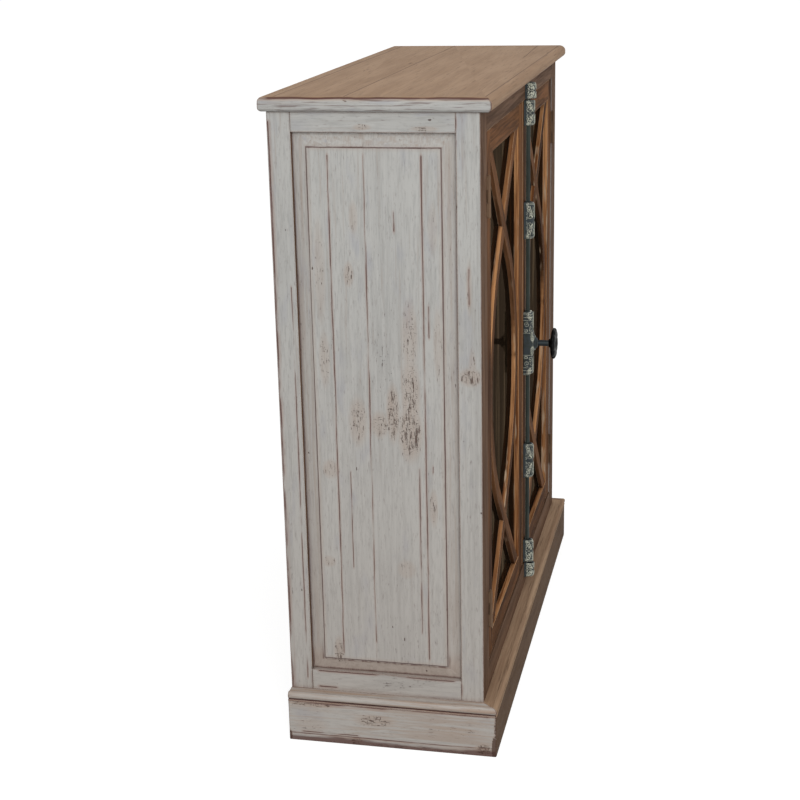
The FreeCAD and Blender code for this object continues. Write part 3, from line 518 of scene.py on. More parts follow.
def paint_layer(finish, look, along, panel=None, soil=0.0):
    """White paint over brown: glaze and painted shade in corners, chips along the grain, worn patches, lines
    round a panel.
    """
    depth, height = finish.spot()[1:]
    wobble = finish.grain(along, 0.25, 24, 2)
    brushed = finish.grain(along, 0.03, 190, 3, 0.6)
    clouds = finish.grain(along, 0.45, 9, 3)
    fine = finish.grain(along, 0.10, 330, 3, 0.62)
    lower = 1 - finish.rise(height, 0.05, 0.9)
    grime = finish.rise(clouds * 0.6 + brushed * 0.6, 0.50, 0.86)
    soiled = finish.rise(brushed + clouds * 0.5, 0.62, 0.90)
    colour = finish.mix(grime * 0.75, look.coat, look.shade)
    colour = finish.mix(finish.rise(fine, 0.46, 0.70) * 0.65, colour, look.shade)
    stains = finish.grain(along, 0.4, 26, 3, shift=5.0)
    colour = finish.mix(finish.rise(stains, 0.55, 0.74) * 0.4, colour, look.cool)
    # Towards the bottom the paint is also mixed warmer and darker.
    rubbed = finish.rise(brushed, 0.56, 0.74) * 0.3 | lower * 0.25 | (0.3 + soiled * 0.7) * soil
    colour = finish.mix(rubbed, colour, look.warm)

    # Painted shade, partly glaze: the paint turns warmer and darker where other surfaces close it in.
    glaze_and_corner_shade = finish.rise(finish.corners(14 * MM) + (fine - 0.5) * 0.2, 0.22, 0.62)
    turned = finish.edges(4.0 * MM)
    warm = finish.rise(turned + (wobble - 0.5) * 0.05, 0.004, 0.12) | glaze_and_corner_shade * 0.6
    line = finish.rise(turned + (wobble - 0.5) * 0.16 + (fine - 0.5) * 0.16, 0.08, 0.20)
    uneven = height + (wobble - 0.5) * (24 * MM) + (fine - 0.5) * (10 * MM)
    scuffed = 1 - finish.rise(uneven, 4 * MM, 11 * MM)
    line = line | glaze_and_corner_shade * glaze_and_corner_shade * (0.25 + soiled * 0.6) | scuffed * 0.95

    level = along == "Y"
    across, run = (height, depth) if level else (depth, height)
    wandering = across + (wobble - 0.5) * (3.0 * MM)
    listed = LEVEL_LINES if level else UPRIGHT_LINES
    ridge = highest([thin_line(finish, wandering, run, place) for place in listed])
    gaps = finish.rise(finish.grain(along, 0.30, 50, 3, shift=4.2), 0.30, 0.58)
    drawn = finish.rise(ridge, 0.80, 0.93) * gaps
    halo = finish.rise(ridge, 0.2, 1.0) * gaps
    if panel:
        low, high, opening, field = panel
        ragged = (wobble - 0.5) * (2.4 * MM) + (fine - 0.5) * (1.6 * MM)
        from_opening = outside(depth, height, low, high, opening) + ragged
        from_field = outside(depth, height, low, high, field) + ragged
        border = finish.near(from_opening, 0.7, 2.1)
        inner = finish.near(from_field, 0.4, 1.6)
        bevel = finish.rise(from_field, 0.0, 3.0 * MM)
        # Painted shade of a rounded bevel: warmer, darker paint near the opening and near the field.
        cove_shade_by_opening = 1 - finish.rise(from_opening * -1, 1.0 * MM, 7.0 * MM)
        cove_shade_by_field = finish.near(from_field, 1.0, 8.0)
        foot = 1 - finish.rise(height, 0.14, 0.19)
        low_streaks = finish.rise(finish.grain("Z", 0.3, 90, 3, shift=8.0), 0.44, 0.66)
        warm = warm * 0.45 | bevel * (0.12 + soiled * 0.35) | cove_shade_by_opening * 0.2 | cove_shade_by_field * 0.4
        # Low on the panel the bevel turns warmer and darker, and dark lines run under the field and along
        # the bottom of the opening.
        warm = warm | bevel * foot * 0.8
        under = finish.near(from_field - 2.0 * MM, 1.0, 4.0) * foot
        sunk = finish.near(from_opening, 1.2, 4.0) * foot
        line = line * 0.25 | border * (0.45 + fine * 0.6) | inner * (0.35 + clouds * 1.1)
        line = line | under * (0.3 + low_streaks * 0.6) | sunk * (0.5 + low_streaks * 0.5)
        line = line | bevel * foot * low_streaks * 0.16

    worn = highest([ellipse(finish, depth, height, patch) for patch in WORN_PATCHES])
    sparse = finish.rise(clouds, 0.52, 0.76) * 0.64
    ticks = finish.grain(along, 0.17, 460, 3, 0.65, shift=1.3)
    crossed = finish.grain("Z" if level else "Y", 0.34, 520, 3, 0.65, shift=3.1) - 0.04
    spots = finish.rise((ticks | crossed) + (worn * 0.19 | sparse * 0.21), 0.73, 0.84)
    specks = finish.rise(finish.grain(along, 0.45, 150, 1, shift=2.1), 0.78, 0.82)
    bared = spots | specks

    colour = finish.mix(warm * 0.7 | worn * (0.2 + fine * 0.5), colour, look.warm)
    colour = finish.mix(halo * 0.5, colour, look.rust)
    colour = finish.mix(finish.rise(ticks, 0.57, 0.72) * 0.3, colour, look.line)
    colour = finish.mix(line * 0.85 | drawn * 0.85, colour, look.line)
    colour = finish.mix(bared * 0.8, colour, look.bare)
    relief = 0.6 + brushed * 0.2 - bared * 0.5 - drawn * 0.6
    return Layer(colour, 0.55 + grime * 0.15 + bared * 0.1, relief)


def round_edges(node, width):
    """Softens a CAD node's edges with modifiers and leaves its own mesh as it is."""
    weld = node.modifiers.new("Weld", "WELD")
    weld.merge_threshold = 0.02 * MM
    bevel = node.modifiers.new("Soft edges", "BEVEL")
    bevel.width = width
    bevel.segments = 2
    bevel.limit_method = "ANGLE"
    bevel.angle_limit = math.radians(32)
    bevel.use_clamp_overlap = True
    node.modifiers.new("Even normals", "WEIGHTED_NORMAL").keep_sharp = False


def dress(names, material, width=1.1 * MM):
    """Gives CAD nodes a finish and soft edges."""
    for name in names:
        node = nodes[name]
        node.data.materials.clear()
        node.data.materials.append(material)
        if width:
            round_edges(node, width)


def new_object(name, data):
    """Puts a mesh, light or camera in the scene."""
    made = bpy.data.objects.new(name, data)
    bpy.context.scene.collection.objects.link(made)
    return made


def new_piece(name, shape, body, replaced, material):
    """An iron mesh in the row frame that stands for a CAD node and rides on its body."""
    points, faces, rubs = shape
    mesh = bpy.data.meshes.new(name)
    mesh.from_pydata(points, [], faces)
    mesh.update()
    mesh.shade_smooth()
    layer = mesh.attributes.new("rub", "FLOAT", "POINT")
    layer.data.foreach_set("value", np.asarray(rubs, np.float32))
    mesh.materials.append(material)
    piece = new_object(name, mesh)
    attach(piece, body)
    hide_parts(replaced)


class CabinetStep:
    """What the operators share."""

    bl_options = {"REGISTER", "UNDO"}

    @property
    def looks(self):
        return bpy.context.scene.cabinet_looks


class PaintSides(CabinetStep, bpy.types.Operator):
    """Worn white paint on the panels, posts, rails, plinth ends and end nosings, stain on front faces"""

    bl_idname = "cabinet.paint_sides"
    bl_label = "Paint the sides"

    def outward(self, finish):
        """How far a face looks away from the middle of the cabinet, to either side."""
        return finish.facing()[0] * finish.spot()[0]

    def execute(self, context):
        look, stain = self.looks.paint, self.looks.stain
        panel = (*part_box("left_panel"), PANEL_TONGUE, PANEL_TONGUE + PANEL_BEVEL)
        for piece, along, border in (("panel", "Z", panel), ("side_rails", "Y", None)):
            finish = new_finish(f"white_paint_{piece}")
            painted = paint_layer(finish, look, along, border)
            inside = wood_layer(finish, along, stain.inner_dark, stain.inner_light)
            layer = finish.over(finish.rise(self.outward(finish), -0.3, -0.15), inside, painted)
            coat = finish.surface(layer, 1.2 * MM, gloss=0.12)
            dress([f"{side}_{piece}" for side in SIDES], coat)

        post = new_finish("white_paint_post")
        painted = paint_layer(post, look, "Z")
        stained = wood_layer(post, "Z", stain.frame_dark, stain.frame_light)
        side = post.rise(abs(post.facing()[0]), 0.35, 0.75)
        dress(POSTS, post.surface(post.over(side, stained, painted), 1.0 * MM), 1.6 * MM)

        tones = (
            ("plinth", stain.plinth_dark, stain.plinth_light, 0.65),
            ("plinth_cap", stain.cap_dark, stain.cap_light, 1.0),
        )
        for piece, dark, light, soil in tones:
            plinth = new_finish(f"white_paint_{piece}")
            painted = paint_layer(plinth, look, "Y", soil=soil)
            stained = wood_layer(plinth, "Y", dark, light)
            across = plinth.spot()[0]
            facing = plinth.facing()
            front = plinth.rise(facing[1] * -1, 0.35, 0.75)
            right_top = plinth.rise(facing[2], 0.4, 0.7) * plinth.rise(across, 0, MM)
            layer = plinth.over(front | right_top, painted, stained)
            coat = plinth.surface(layer, 1.0 * MM)
            dress([f"{piece}_{side}" for side in SIDES], coat, 1.3 * MM)

        nosing = new_finish("white_paint_nosing")
        painted = paint_layer(nosing, look, "Y")
        stained = wood_layer(nosing, "Y", stain.top_dark, stain.top_light)
        facing = nosing.facing()
        ragged = (nosing.grain("Y", 0.25, 60, 3) - 0.5) * 0.30
        bare = nosing.rise(facing[2] + ragged, 0.84, 0.90) | nosing.rise(facing[1] * -1, 0.55, 0.8)
        layer = nosing.over(bare, painted, stained)
        nicks = nosing.rise(nosing.grain("Y", 0.12, 120, 3, shift=2.0), 0.46, 0.56)
        seam = (1 - nosing.rise(abs(facing[2] + ragged - 0.84), 0.05, 0.16)) * nicks
        veins = nosing.rise(nosing.grain("Y", 0.05, 330, 3, shift=7.0), 0.54, 0.64)
        rubbed = nosing.rise(facing[2] + ragged, 0.35, 0.80) * (1 - bare)
        layer.colour = nosing.mix(rubbed * 0.85, layer.colour, look.warm)
        layer.colour = nosing.mix(seam * 0.9, layer.colour, look.line)
        layer.colour = nosing.mix(veins * (1 - bare) * 0.55, layer.colour, look.line)
        dress([f"top_{side}_nosing" for side in SIDES], nosing.surface(layer, 1.0 * MM))
        return {"FINISHED"}


class StainTop(CabinetStep, bpy.types.Operator):
    """Worn tan stain on the planks and front nosing of the top"""

    bl_idname = "cabinet.stain_top"
    bl_label = "Stain the top"

    def execute(self, context):
        stain = self.looks.stain
        finish = new_finish("top_stain")
        layer = wood_layer(finish, "X", stain.top_dark, stain.top_light, 0.3)
        across, depth = finish.spot()[:2]
        clouds = finish.grain("X", 0.35, 14, 3, shift=2.0)
        wander = (clouds - 0.5) * (1.5 * MM)
        edges = [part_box(name)[0].y for name in ("top_rear_strip", "top_rear_plank", "top_front_plank")]
        lines = [finish.near(depth + wander - edge, 0.4, 1.4) for edge in edges]
        (start, start_y), (end, end_y) = TOP_SLANTED_LINE
        slant = depth - (across - start * MM) * ((end_y - start_y) / (end - start)) - start_y * MM
        slanted_line = finish.near(slant + wander, 0.4, 1.3)
        lines.append(slanted_line * finish.rise(across, (start - 60) * MM, start * MM))
        layer.colour = finish.mix(highest(lines) * 0.7, layer.colour, stain.frame_dark)
        marked = highest([ellipse(finish, across, depth, mark) for mark in TOP_MARKS])
        flecks = finish.grain("X", 0.12, 170, 2, shift=6.0)
        spots = finish.rise(flecks + marked * 0.22, 0.70, 0.80)
        layer.colour = finish.mix(spots * 0.55, layer.colour, stain.frame_dark)
        names = ("top_rear_strip", "top_rear_plank", "top_front_plank", "top_front_nosing")
        dress(names, finish.surface(layer, 0.3 * MM, gloss=0.04), 0.9 * MM)
        return {"FINISHED"}


class StainFront(CabinetStep, bpy.types.Operator):
    """Grey-brown stain on the front rails and the front of the plinth"""

    bl_idname = "cabinet.stain_front"
    bl_label = "Stain the front"

    def execute(self, context):
        stain = self.looks.stain
        rails = stained_pine("frame_stain", "X", stain.frame_dark, stain.frame_light)
        dress(("front_top_rail", "front_bottom_rail"), rails)
        plinth = stained_pine("plinth_stain", "X", stain.plinth_dark, stain.plinth_light, 0.4)
        dress(("plinth_front",), plinth, 1.3 * MM)
        cap = stained_pine("cap_stain", "X", stain.cap_dark, stain.cap_light, 0.6)
        dress(("plinth_cap_front",), cap, 1.3 * MM)
        return {"FINISHED"}


class StainDoors(CabinetStep, bpy.types.Operator):
    """Dark stain on the faces of the doors and bows, paler sawn edges"""

    bl_idname = "cabinet.stain_doors"
    bl_label = "Stain the doors"

    def make(self, name, along, bow=None, bulge=1):
        stain = self.looks.stain
        finish = new_finish(name)
        if bow:
            finish.bend(*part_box(bow), bulge)
        face, edge = [
            wood_layer(finish, along, dark, light, wear, shift, stain.worn, streak, 2.6 * MM)
            for dark, light, wear, shift, streak in (
                (stain.door_dark, stain.door_light, 0.75, 0.0, 0.5),
                (stain.edge_dark, stain.edge_light, 0.8, 5.0, 0.95),
            )
        ]
        facing = finish.flat_facing()
        sawn = 1 - finish.rise(abs(facing[1]), 0.45, 0.85)
        pale = finish.rise(facing[2], -0.32, 0.05)
        layer = finish.over(sawn * pale, face, edge)
        flecks = finish.rise(finish.grain(along, 0.10, 130, 2, shift=7.0), 0.54, 0.61)
        groups = finish.rise(finish.grain(along, 0.3, 22, 2, shift=11.0), 0.50, 0.60)
        layer.colour = finish.mix(flecks * groups * sawn * 0.85, layer.colour, stain.worn)
        return finish.surface(layer, 0.9 * MM)

    def execute(self, context):
        upright = self.make("door_stain_upright", "Z")
        level = self.make("door_stain_level", "X")
        for door in DOORS:
            stiles = [f"{door}_{piece}" for piece in ("hinge_stile", "meeting_stile")]
            rails = [f"{door}_{piece}" for piece in ("top_rail", "bottom_rail")]
            dress(stiles, upright)
            dress(rails, level)
            hands = (-1, 1) if door == "left_door" else (1, -1)
            for piece, bulge in zip(("hinge_bow", "meeting_bow"), hands):
                bow = f"{door}_{piece}"
                dress([bow], self.make(f"door_stain_{bow}", "Z", bow, bulge), 0.7 * MM)
        return {"FINISHED"}


class StainInside(CabinetStep, bpy.types.Operator):
    """Dark stained pine on the back, floor, shelves, cleats, stop and glass beads"""

    bl_idname = "cabinet.stain_inside"
    bl_label = "Stain the inside"

    def execute(self, context):
        stain = self.looks.stain
        upright = stained_pine("inner_wood_upright", "Z", stain.inner_dark, stain.inner_light)
        dress([f"{door}_glass_beads" for door in DOORS], upright, 0.8 * MM)
        back = new_finish("back_wood")
        inside = wood_layer(back, "Z", stain.inner_dark, stain.inner_light)
        behind = wood_layer(back, "Z", stain.back_dark, stain.back_light, shift=3.0)
        board = back.node("NewGeometry").output("Random Per Island")
        behind.colour = back.mix(board * 0.6, behind.colour, stain.back_dark)
        low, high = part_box("back_boards")
        places = [low.x + (high.x - low.x) * joint / BACK_BOARDS for joint in range(1, BACK_BOARDS)]
        across = back.spot()[0]
        joints = highest([back.near(across - place, 0.5, 1.8) for place in places])
        behind.colour = back.mix(joints * 0.85, behind.colour, stain.inner_dark)
        behind.height = behind.height - joints
        layer = back.over(back.rise(back.facing()[1], 0.3, 0.7), inside, behind)
        dress(("back_boards",), back.surface(layer, 0.8 * MM), 0)
        level = stained_pine("inner_wood_level", "X", stain.inner_dark, stain.inner_light)
        names = ("back_rails", "floor_board", "shelves", "shelf_cleats", "door_stop")
        dress(names, level, 0.8 * MM)
        return {"FINISHED"}


class GlazeDoors(CabinetStep, bpy.types.Operator):
    """Old glass with a little dust in the doors"""

    bl_idname = "cabinet.glaze_doors"
    bl_label = "Glaze the doors"

    def execute(self, context):
        look = self.looks.glass
        finish = new_finish("old_glass")
        clear = finish.node("BsdfTransparent", None, {"Color": (*look.tint, 1)})
        film = finish.node("BsdfDiffuse", None, {"Color": (*look.haze, 1)})
        body = finish.node("MixShader", None, {0: 0.4, 1: clear, 2: film})
        waves = finish.grain("Z", 0.4, 18, 2)
        bump = finish.node("Bump", None, {"Distance": 0.2 * MM, "Height": waves})
        shine = {"Roughness": 0.04, "Normal": bump}
        dim, bright = [
            finish.node("BsdfGlossy", None, {"Color": (*tone, 1), **shine})
            for tone in (look.mirror, look.sheen)
        ]
        streaks = finish.rise(finish.grain("Z", 0.05, 45, 3, shift=2.0), 0.42, 0.70)
        gloss = finish.node("MixShader", None, {0: streaks, 1: dim, 2: bright})
        share = finish.node("Fresnel", None, {"IOR": look.index})
        dust = finish.rise(finish.noise(finish.place(), 30, 4), 0.5, 0.9) * 0.06
        glass = finish.node("MixShader", None, {0: share + dust, 1: body, 2: gloss})
        dress([f"{door}_glass" for door in DOORS], finish.end(glass), 0)
        return {"FINISHED"}


class FinishFittings(CabinetStep, bpy.types.Operator):
    """Dark iron on the rods, spindle and hinges, plain steel on the screws and the catch"""

    bl_idname = "cabinet.finish_fittings"
    bl_label = "Finish the fittings"

    def metal(self, name, colour, worn, along, metallic=0.65):
        finish = new_finish(name)
        clouds = finish.grain(along, 0.3, 70, 3)
        drawn = finish.grain(along, 0.02, 600, 2)
        rub = finish.rise(finish.edges(1.2 * MM) + (clouds - 0.5) * 0.2, 0.08, 0.26)
        dull = finish.rise(clouds, 0.4, 0.75)
        tone = finish.mix(dull * 0.5, colour, [channel * 0.55 for channel in colour])
        tone = finish.mix(rub * 0.7, tone, worn)
        layer = Layer(tone, 0.36 + dull * 0.2, drawn)
        return finish.surface(layer, 0.15 * MM, metallic)

    def execute(self, context):
        look = self.looks.iron
        rods = self.metal("rod_iron", look.rod, look.pewter, "Z")
        dress(("upper_rod", "lower_rod"), rods, 0.6 * MM)
        spindle = self.metal("spindle_iron", look.ground, look.pewter, "Y")
        dress(("pinion_shaft",), spindle, 0)
        stain = self.looks.stain
        hinge = self.metal("hinge_iron", stain.plinth_light, stain.frame_light, "Z", 0.1)
        hinges = ("left_hinge_leaves", "right_hinge_leaves", "hinge_frame_leaves", "hinge_pins")
        dress(hinges, hinge, 0)
        steel = self.metal("plain_steel", look.steel, look.pewter, "X")
        screws = ("frame_screws", "left_door_screws", "right_door_screws", "catch_magnet", "catch_plate")
        dress(screws, steel, 0)
        return {"FINISHED"}


def cast_finish(look):
    """Cast iron, dark in the hollows and rubbed to pewter on what the mesh marks as high."""
    made = bpy.data.materials.get("cast_iron")
    if made:
        return made
    finish = new_finish("cast_iron")
    high = finish.node("Attribute", {"attribute_name": "rub"}).output("Fac")
    grit = finish.noise(finish.place(), 900, 2)
    clouds = finish.noise(finish.place(), 160, 3)
    rub = finish.rise(high + (clouds - 0.5) * 0.6 + (grit - 0.5) * 0.2, 0.35, 0.85)
    green = finish.mix(finish.rise(clouds, 0.45, 0.7), look.ground, look.rod)
    colour = finish.mix(rub, green, look.pewter)
    return finish.surface(Layer(colour, 0.52 - rub * 0.14, grit), 0.12 * MM, metallic=0.25, gloss=0.2)


# Castings, in millimetres: section of a guide, channel for the rod, height of a guide's foot, how far the
# inner guides lie from the case, half heights, step along a casting and half length of a cord.
GUIDE_OUTER = (
    (-12, 0), (-12, 2.0), (-8.4, 2.3), (-7.3, 4.0), (-7.0, 9.0), (-6.4, 14.0), (-3.6, 16.4), (0, 16.9),
    (3.6, 16.4), (6.4, 14.0), (7.0, 9.0), (7.3, 4.0), (8.4, 2.3), (12, 2.0), (12, 0),
)
ROD_CHANNEL = ((-5, 0), (-5, 5), (-5, 10.6), (0, 10.9), (5, 10.6), (5, 5), (5, 0))
GUIDE_FOOT = 3
GUIDE_SPACING = 228.5
GUIDE_HALF, END_GUIDE_HALF, KEEPER_HALF = 33.0, 22.0, 14.0
LEVEL_STEP = 0.7
CORD_REACH = 26

# How many points are set on a section, scroll, leaf vein and cord, and round and along the knob.
SECTION_POINTS, SCROLL_POINTS, LEAF_POINTS, CORD_POINTS = 72, 36, 24, 60
KNOB_STEPS, KNOB_RINGS = 192, 60
RIDGE_BATCH = 60


def arc_points(points, count):
    """A polyline rounded at its corners and cut into equal steps."""
    line = np.array(points, float)
    for _ in range(2):
        cut = np.empty((2 * len(line), 2))
        cut[0], cut[-1] = line[0], line[-1]
        cut[1:-1:2] = line[:-1] * 0.75 + line[1:] * 0.25
        cut[2:-1:2] = line[:-1] * 0.25 + line[1:] * 0.75
        line = cut
    steps = np.concatenate([[0], np.cumsum(np.linalg.norm(np.diff(line, axis=0), axis=1))])
    wanted = np.linspace(0, steps[-1], count)
    return np.stack([np.interp(wanted, steps, line[:, i]) for i in range(2)], 1), wanted - steps[-1] / 2


def spiral(middle, start, turns, size, hand):
    """A scroll that winds inward from its start angle."""
    share = np.linspace(0, 1, SCROLL_POINTS)
    angle = start + hand * share * turns * 2 * math.pi
    reach = size * (1 - 0.8 * share)
    return np.stack([middle[0] + reach * np.cos(angle), middle[1] + reach * np.sin(angle)], 1)


def leaf(base, tip, width):
    """A leaf: midrib and curved veins on both sides."""
    base, tip = np.array(base, float), np.array(tip, float)
    run = tip - base
    side = np.array([-run[1], run[0]]) / np.linalg.norm(run)
    share = np.linspace(0, 1, LEAF_POINTS)[:, None]
    lines = [base + run * share]
    for at in (0.1, 0.32, 0.54, 0.76):
        for hand in (-1, 1):
            reach = width * math.sin(math.pi * (0.2 + 0.75 * at))
            bent = side * hand * reach * np.sin(share * math.pi / 2)
            lines.append(base + run * (at + 0.28 * share) + bent)
    return lines


def relief_of(levels, girth, lines, half):
    """Height from 0 to 1, at each level and place round the girth, of round stems along the lines."""
    places = np.array([(across, level) for level in levels for across in girth])
    ridge = np.concatenate(lines)
    best = np.full(len(places), 1e9)
    for start in range(0, len(ridge), RIDGE_BATCH):
        batch = ridge[None, start : start + RIDGE_BATCH]
        gap = np.linalg.norm(places[:, None] - batch, axis=2)
        best = np.minimum(best, gap.min(axis=1))
    return np.sqrt(np.clip(1 - (best / half) ** 2, 0, 1)).reshape(len(levels), len(girth))


def cast_shell(levels, outers, inners, relief, height, origin):
    """An arched casting on the door's face, from an outer and an inner section at each level along Z.

    Sections hold sideways and forward millimetres, and relief is added to the outer ones. Returns points,
    faces and how high each point is."""
    count = len(outers[0])
    points, rubs, faces = [], [], []
    for row, level in enumerate(levels):
        outer = np.array(outers[row])
        along = np.gradient(outer, axis=0)
        normal = np.stack([-along[:, 1], along[:, 0]], 1)
        normal /= np.linalg.norm(normal, axis=1)[:, None]
        raised = outer + normal * (relief[row] * height)[:, None]
        raised[:, 1] = np.maximum(raised[:, 1], 0)
        for section, rub in ((raised, relief[row]), (np.array(inners[row])[::-1], np.zeros(count))):
            for (sideways, forward), high in zip(section, rub):
                points.append((origin[0] + sideways * MM, origin[1] - forward * MM, origin[2] + level * MM))
                rubs.append(high)
    ring = 2 * count
    for row in range(len(levels) - 1):
        for place in range(ring):
            following = (place + 1) % ring
            low, high = row * ring, (row + 1) * ring
            faces.append((low + place, low + following, high + following, high + place))
    for row in (0, len(levels) - 1):
        base = row * ring
        for place in range(count - 1):
            quad = (base + place, base + ring - 1 - place, base + ring - 2 - place, base + place + 1)
            faces.append(quad if row == 0 else quad[::-1])
    return points, faces, rubs


def merge(parts):
    """Several point and face lists as one."""
    points, faces, rubs = [], [], []
    for part_points, part_faces, part_rubs in parts:
        start = len(points)
        points += part_points
        faces += [tuple(start + corner for corner in face) for face in part_faces]
        rubs += part_rubs
    return points, faces, rubs


def guide_casting(half, looks, origin, flip=1, blunt=0):
    """One rod guide or keeper: an arched body with scrolls, drawn in a little at ends that are not blunt."""
    outer, girth = arc_points(GUIDE_OUTER, SECTION_POINTS)
    inner, _ = arc_points(ROD_CHANNEL, SECTION_POINTS)
    levels = np.arange(-half, half + LEVEL_STEP / 2, 2 * half / round(2 * half / LEVEL_STEP))
    flange = np.clip((outer[:, 1] - 2.6) / 1.5, 0, 1)
    relief = relief_of(levels * flip, girth, guide_lines(half), looks.stem / MM) * flange[None, :]
    outers = []
    for level in levels:
        end = 1.0 if level * blunt > 0 else float(np.clip((half - abs(level)) / 5, 0, 1))
        drawn = outer.copy()
        height = outer[:, 1]
        low = GUIDE_FOOT + (height - GUIDE_FOOT) * (0.78 + 0.22 * math.sqrt(end))
        drawn[:, 1] = np.where(height > GUIDE_FOOT, low, height)
        outers.append(drawn)
    return cast_shell(levels, outers, [inner] * len(levels), relief, looks.relief / MM, origin)


def level_ridge(place):
    """A cord across the whole girth at one height."""
    across = np.linspace(-CORD_REACH, CORD_REACH, CORD_POINTS)
    return np.stack([across, np.full(CORD_POINTS, place)], 1)


def guide_lines(half):
    """Scrolls on both flanks, a leaf on the crown and a cord round each end."""
    lines = []
    for hand in (-1, 1):
        for end in (-1, 1):
            lines.append(spiral((hand * 11.5, end * half * 0.66), -end * hand * 0.6, 1.4, 6.0, hand * end))
            lines.append(spiral((hand * 10, end * half * 0.24), end * 2.2, 1.3, 5.2, -hand * end))
            lines.append(spiral((hand * 18, end * half * 0.44), end * 1.0, 1.2, 4.2, hand * end))
            lines.append(spiral((hand * 18.5, end * half * 0.80), end * 0.4, 1.2, 3.6, -hand * end))
            lines.append(spiral((hand * 18, end * half * 0.12), end * 2.6, 1.1, 3.4, hand * end))
            lines += leaf((hand * 5, end * half * 0.1), (hand * 15, end * half * 0.92), 3.2)
    for end in (-1, 1):
        lines += leaf((0, end * 2), (0, end * half * 0.86), 4.2)
        lines += [level_ridge(end * (half - 1.2)), level_ridge(end * (half - 3.6))]
    return lines


class MakeGuides(CabinetStep, bpy.types.Operator):
    """Four cast guides that hold the bolt rods to the right door"""

    bl_idname = "cabinet.make_guides"
    bl_label = "Make the rod guides"

    def execute(self, context):
        low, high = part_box("rod_guides")
        middle_x, face_y = (low.x + high.x) / 2, high.y
        tall, short = GUIDE_HALF, END_GUIDE_HALF
        case_low, case_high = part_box("bolt_case")
        middle_z = (case_low.z + case_high.z) / 2 / MM
        heights = (
            (low.z / MM + short, short), (middle_z - GUIDE_SPACING, tall),
            (middle_z + GUIDE_SPACING, tall), (high.z / MM - short, short),
        )
        parts = []
        for (middle, half), blunt in zip(heights, (-1, 0, 0, 1)):
            origin = (middle_x, face_y, middle * MM)
            parts.append(guide_casting(half, self.looks.cast, origin, 1, blunt))
        finish = cast_finish(self.looks.iron)
        new_piece("cast_rod_guides", merge(parts), "right_door", "rod_guides", finish)
        return {"FINISHED"}


class MakeKeepers(CabinetStep, bpy.types.Operator):
    """Two cast keepers on the front rails that take the ends of the rods"""

    bl_idname = "cabinet.make_keepers"
    bl_label = "Make the rod keepers"

    def execute(self, context):
        low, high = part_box("rod_keepers")
        middle_x, face_y, half = (low.x + high.x) / 2, high.y, KEEPER_HALF
        parts = []
        for middle, flip in ((low.z + half * MM, -1), (high.z - half * MM, 1)):
            origin = (middle_x, face_y, middle)
            parts.append(guide_casting(half, self.looks.cast, origin, flip, -flip))
        finish = cast_finish(self.looks.iron)
        new_piece("cast_rod_keepers", merge(parts), "case", "rod_keepers", finish)
        return {"FINISHED"}


class MakeBoltCase(CabinetStep, bpy.types.Operator):
    """The cast bolt case on the right door, with scrolls at its ends and a boss for the spindle"""

    bl_idname = "cabinet.make_bolt_case"
    bl_label = "Make the bolt case"

    def execute(self, context):
        low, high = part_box("bolt_case")
        origin = ((low.x + high.x) / 2, high.y, (low.z + high.z) / 2)
        half = (high.z - low.z) / 2 / MM
        deep, wide = 15.2, 12.4
        outline = (
            (-wide, 0), (-wide, 3), (-wide, 9), (-wide * 0.96, 13), (-wide * 0.7, deep), (0, deep),
            (wide * 0.7, deep), (wide * 0.96, 13), (wide, 9), (wide, 3), (wide, 0),
        )
        channel = ((-10.7, 0), (-10.7, 6), (-10.7, 11.2), (0, 11.4), (10.7, 11.2), (10.7, 6), (10.7, 0))
        outer, girth = arc_points(outline, SECTION_POINTS)
        inner, _ = arc_points(channel, SECTION_POINTS)
        levels = np.linspace(-half, half, round(2 * half / LEVEL_STEP))
        lines = []
        for end in (-1, 1):
            for hand in (-1, 1):
                lines.append(spiral((hand * 8.0, end * 37), -end * 0.8, 1.4, 6.4, hand * end))
                lines.append(spiral((hand * 18.5, end * 37), end * 1.2, 1.3, 5.2, -hand * end))
                lines.append(spiral((hand * 12.5, end * 28), end * 2.0, 1.2, 4.8, hand * end))
                lines.append(spiral((hand * 20, end * 26), end * 2.6, 1.1, 4.0, -hand * end))
                lines += leaf((hand * 10.5, end * 4), (hand * 8, end * 22), 3.0)
                lines += leaf((hand * 12, end * 45), (hand * 17, end * 57), 3.4)
            lines += leaf((0, end * 24), (0, end * 56), 5.0)
            lines += [level_ridge(end * place) for place in (half - 1.2, half - 4.2, 50.5, 45.0, 21.0)]
        turn = np.linspace(0, 2 * math.pi, CORD_POINTS)
        lines.append(np.stack([9.6 * np.cos(turn), 13.0 * np.sin(turn)], 1))
        relief = relief_of(levels, girth, lines, self.looks.cast.stem / MM)
        outers, inners = [], []
        for level in levels:
            swell = float(np.clip((half - abs(level)) / 3.5, 0, 1)) ** 0.5
            narrow = 0.80 + 0.20 * swell
            tall = 0.30 + 0.70 * swell
            section = outer * (narrow, tall)
            reach = np.hypot(girth * 1.3, level * 0.8)
            flare = 9.0 * np.clip(1 - (reach - 6.5) / 12.5, 0, 1) ** 2
            section[:, 1] += np.where(np.abs(girth) < 12, flare, 0)
            outers.append(section)
            inners.append(inner * (0.5 + 0.47 * swell, 0.32 + 0.68 * swell))
        shape = cast_shell(levels, outers, inners, relief, self.looks.cast.relief / MM, origin)
        finish = cast_finish(self.looks.iron)
        new_piece("cast_bolt_case", shape, "right_door", "bolt_case", finish)
        return {"FINISHED"}


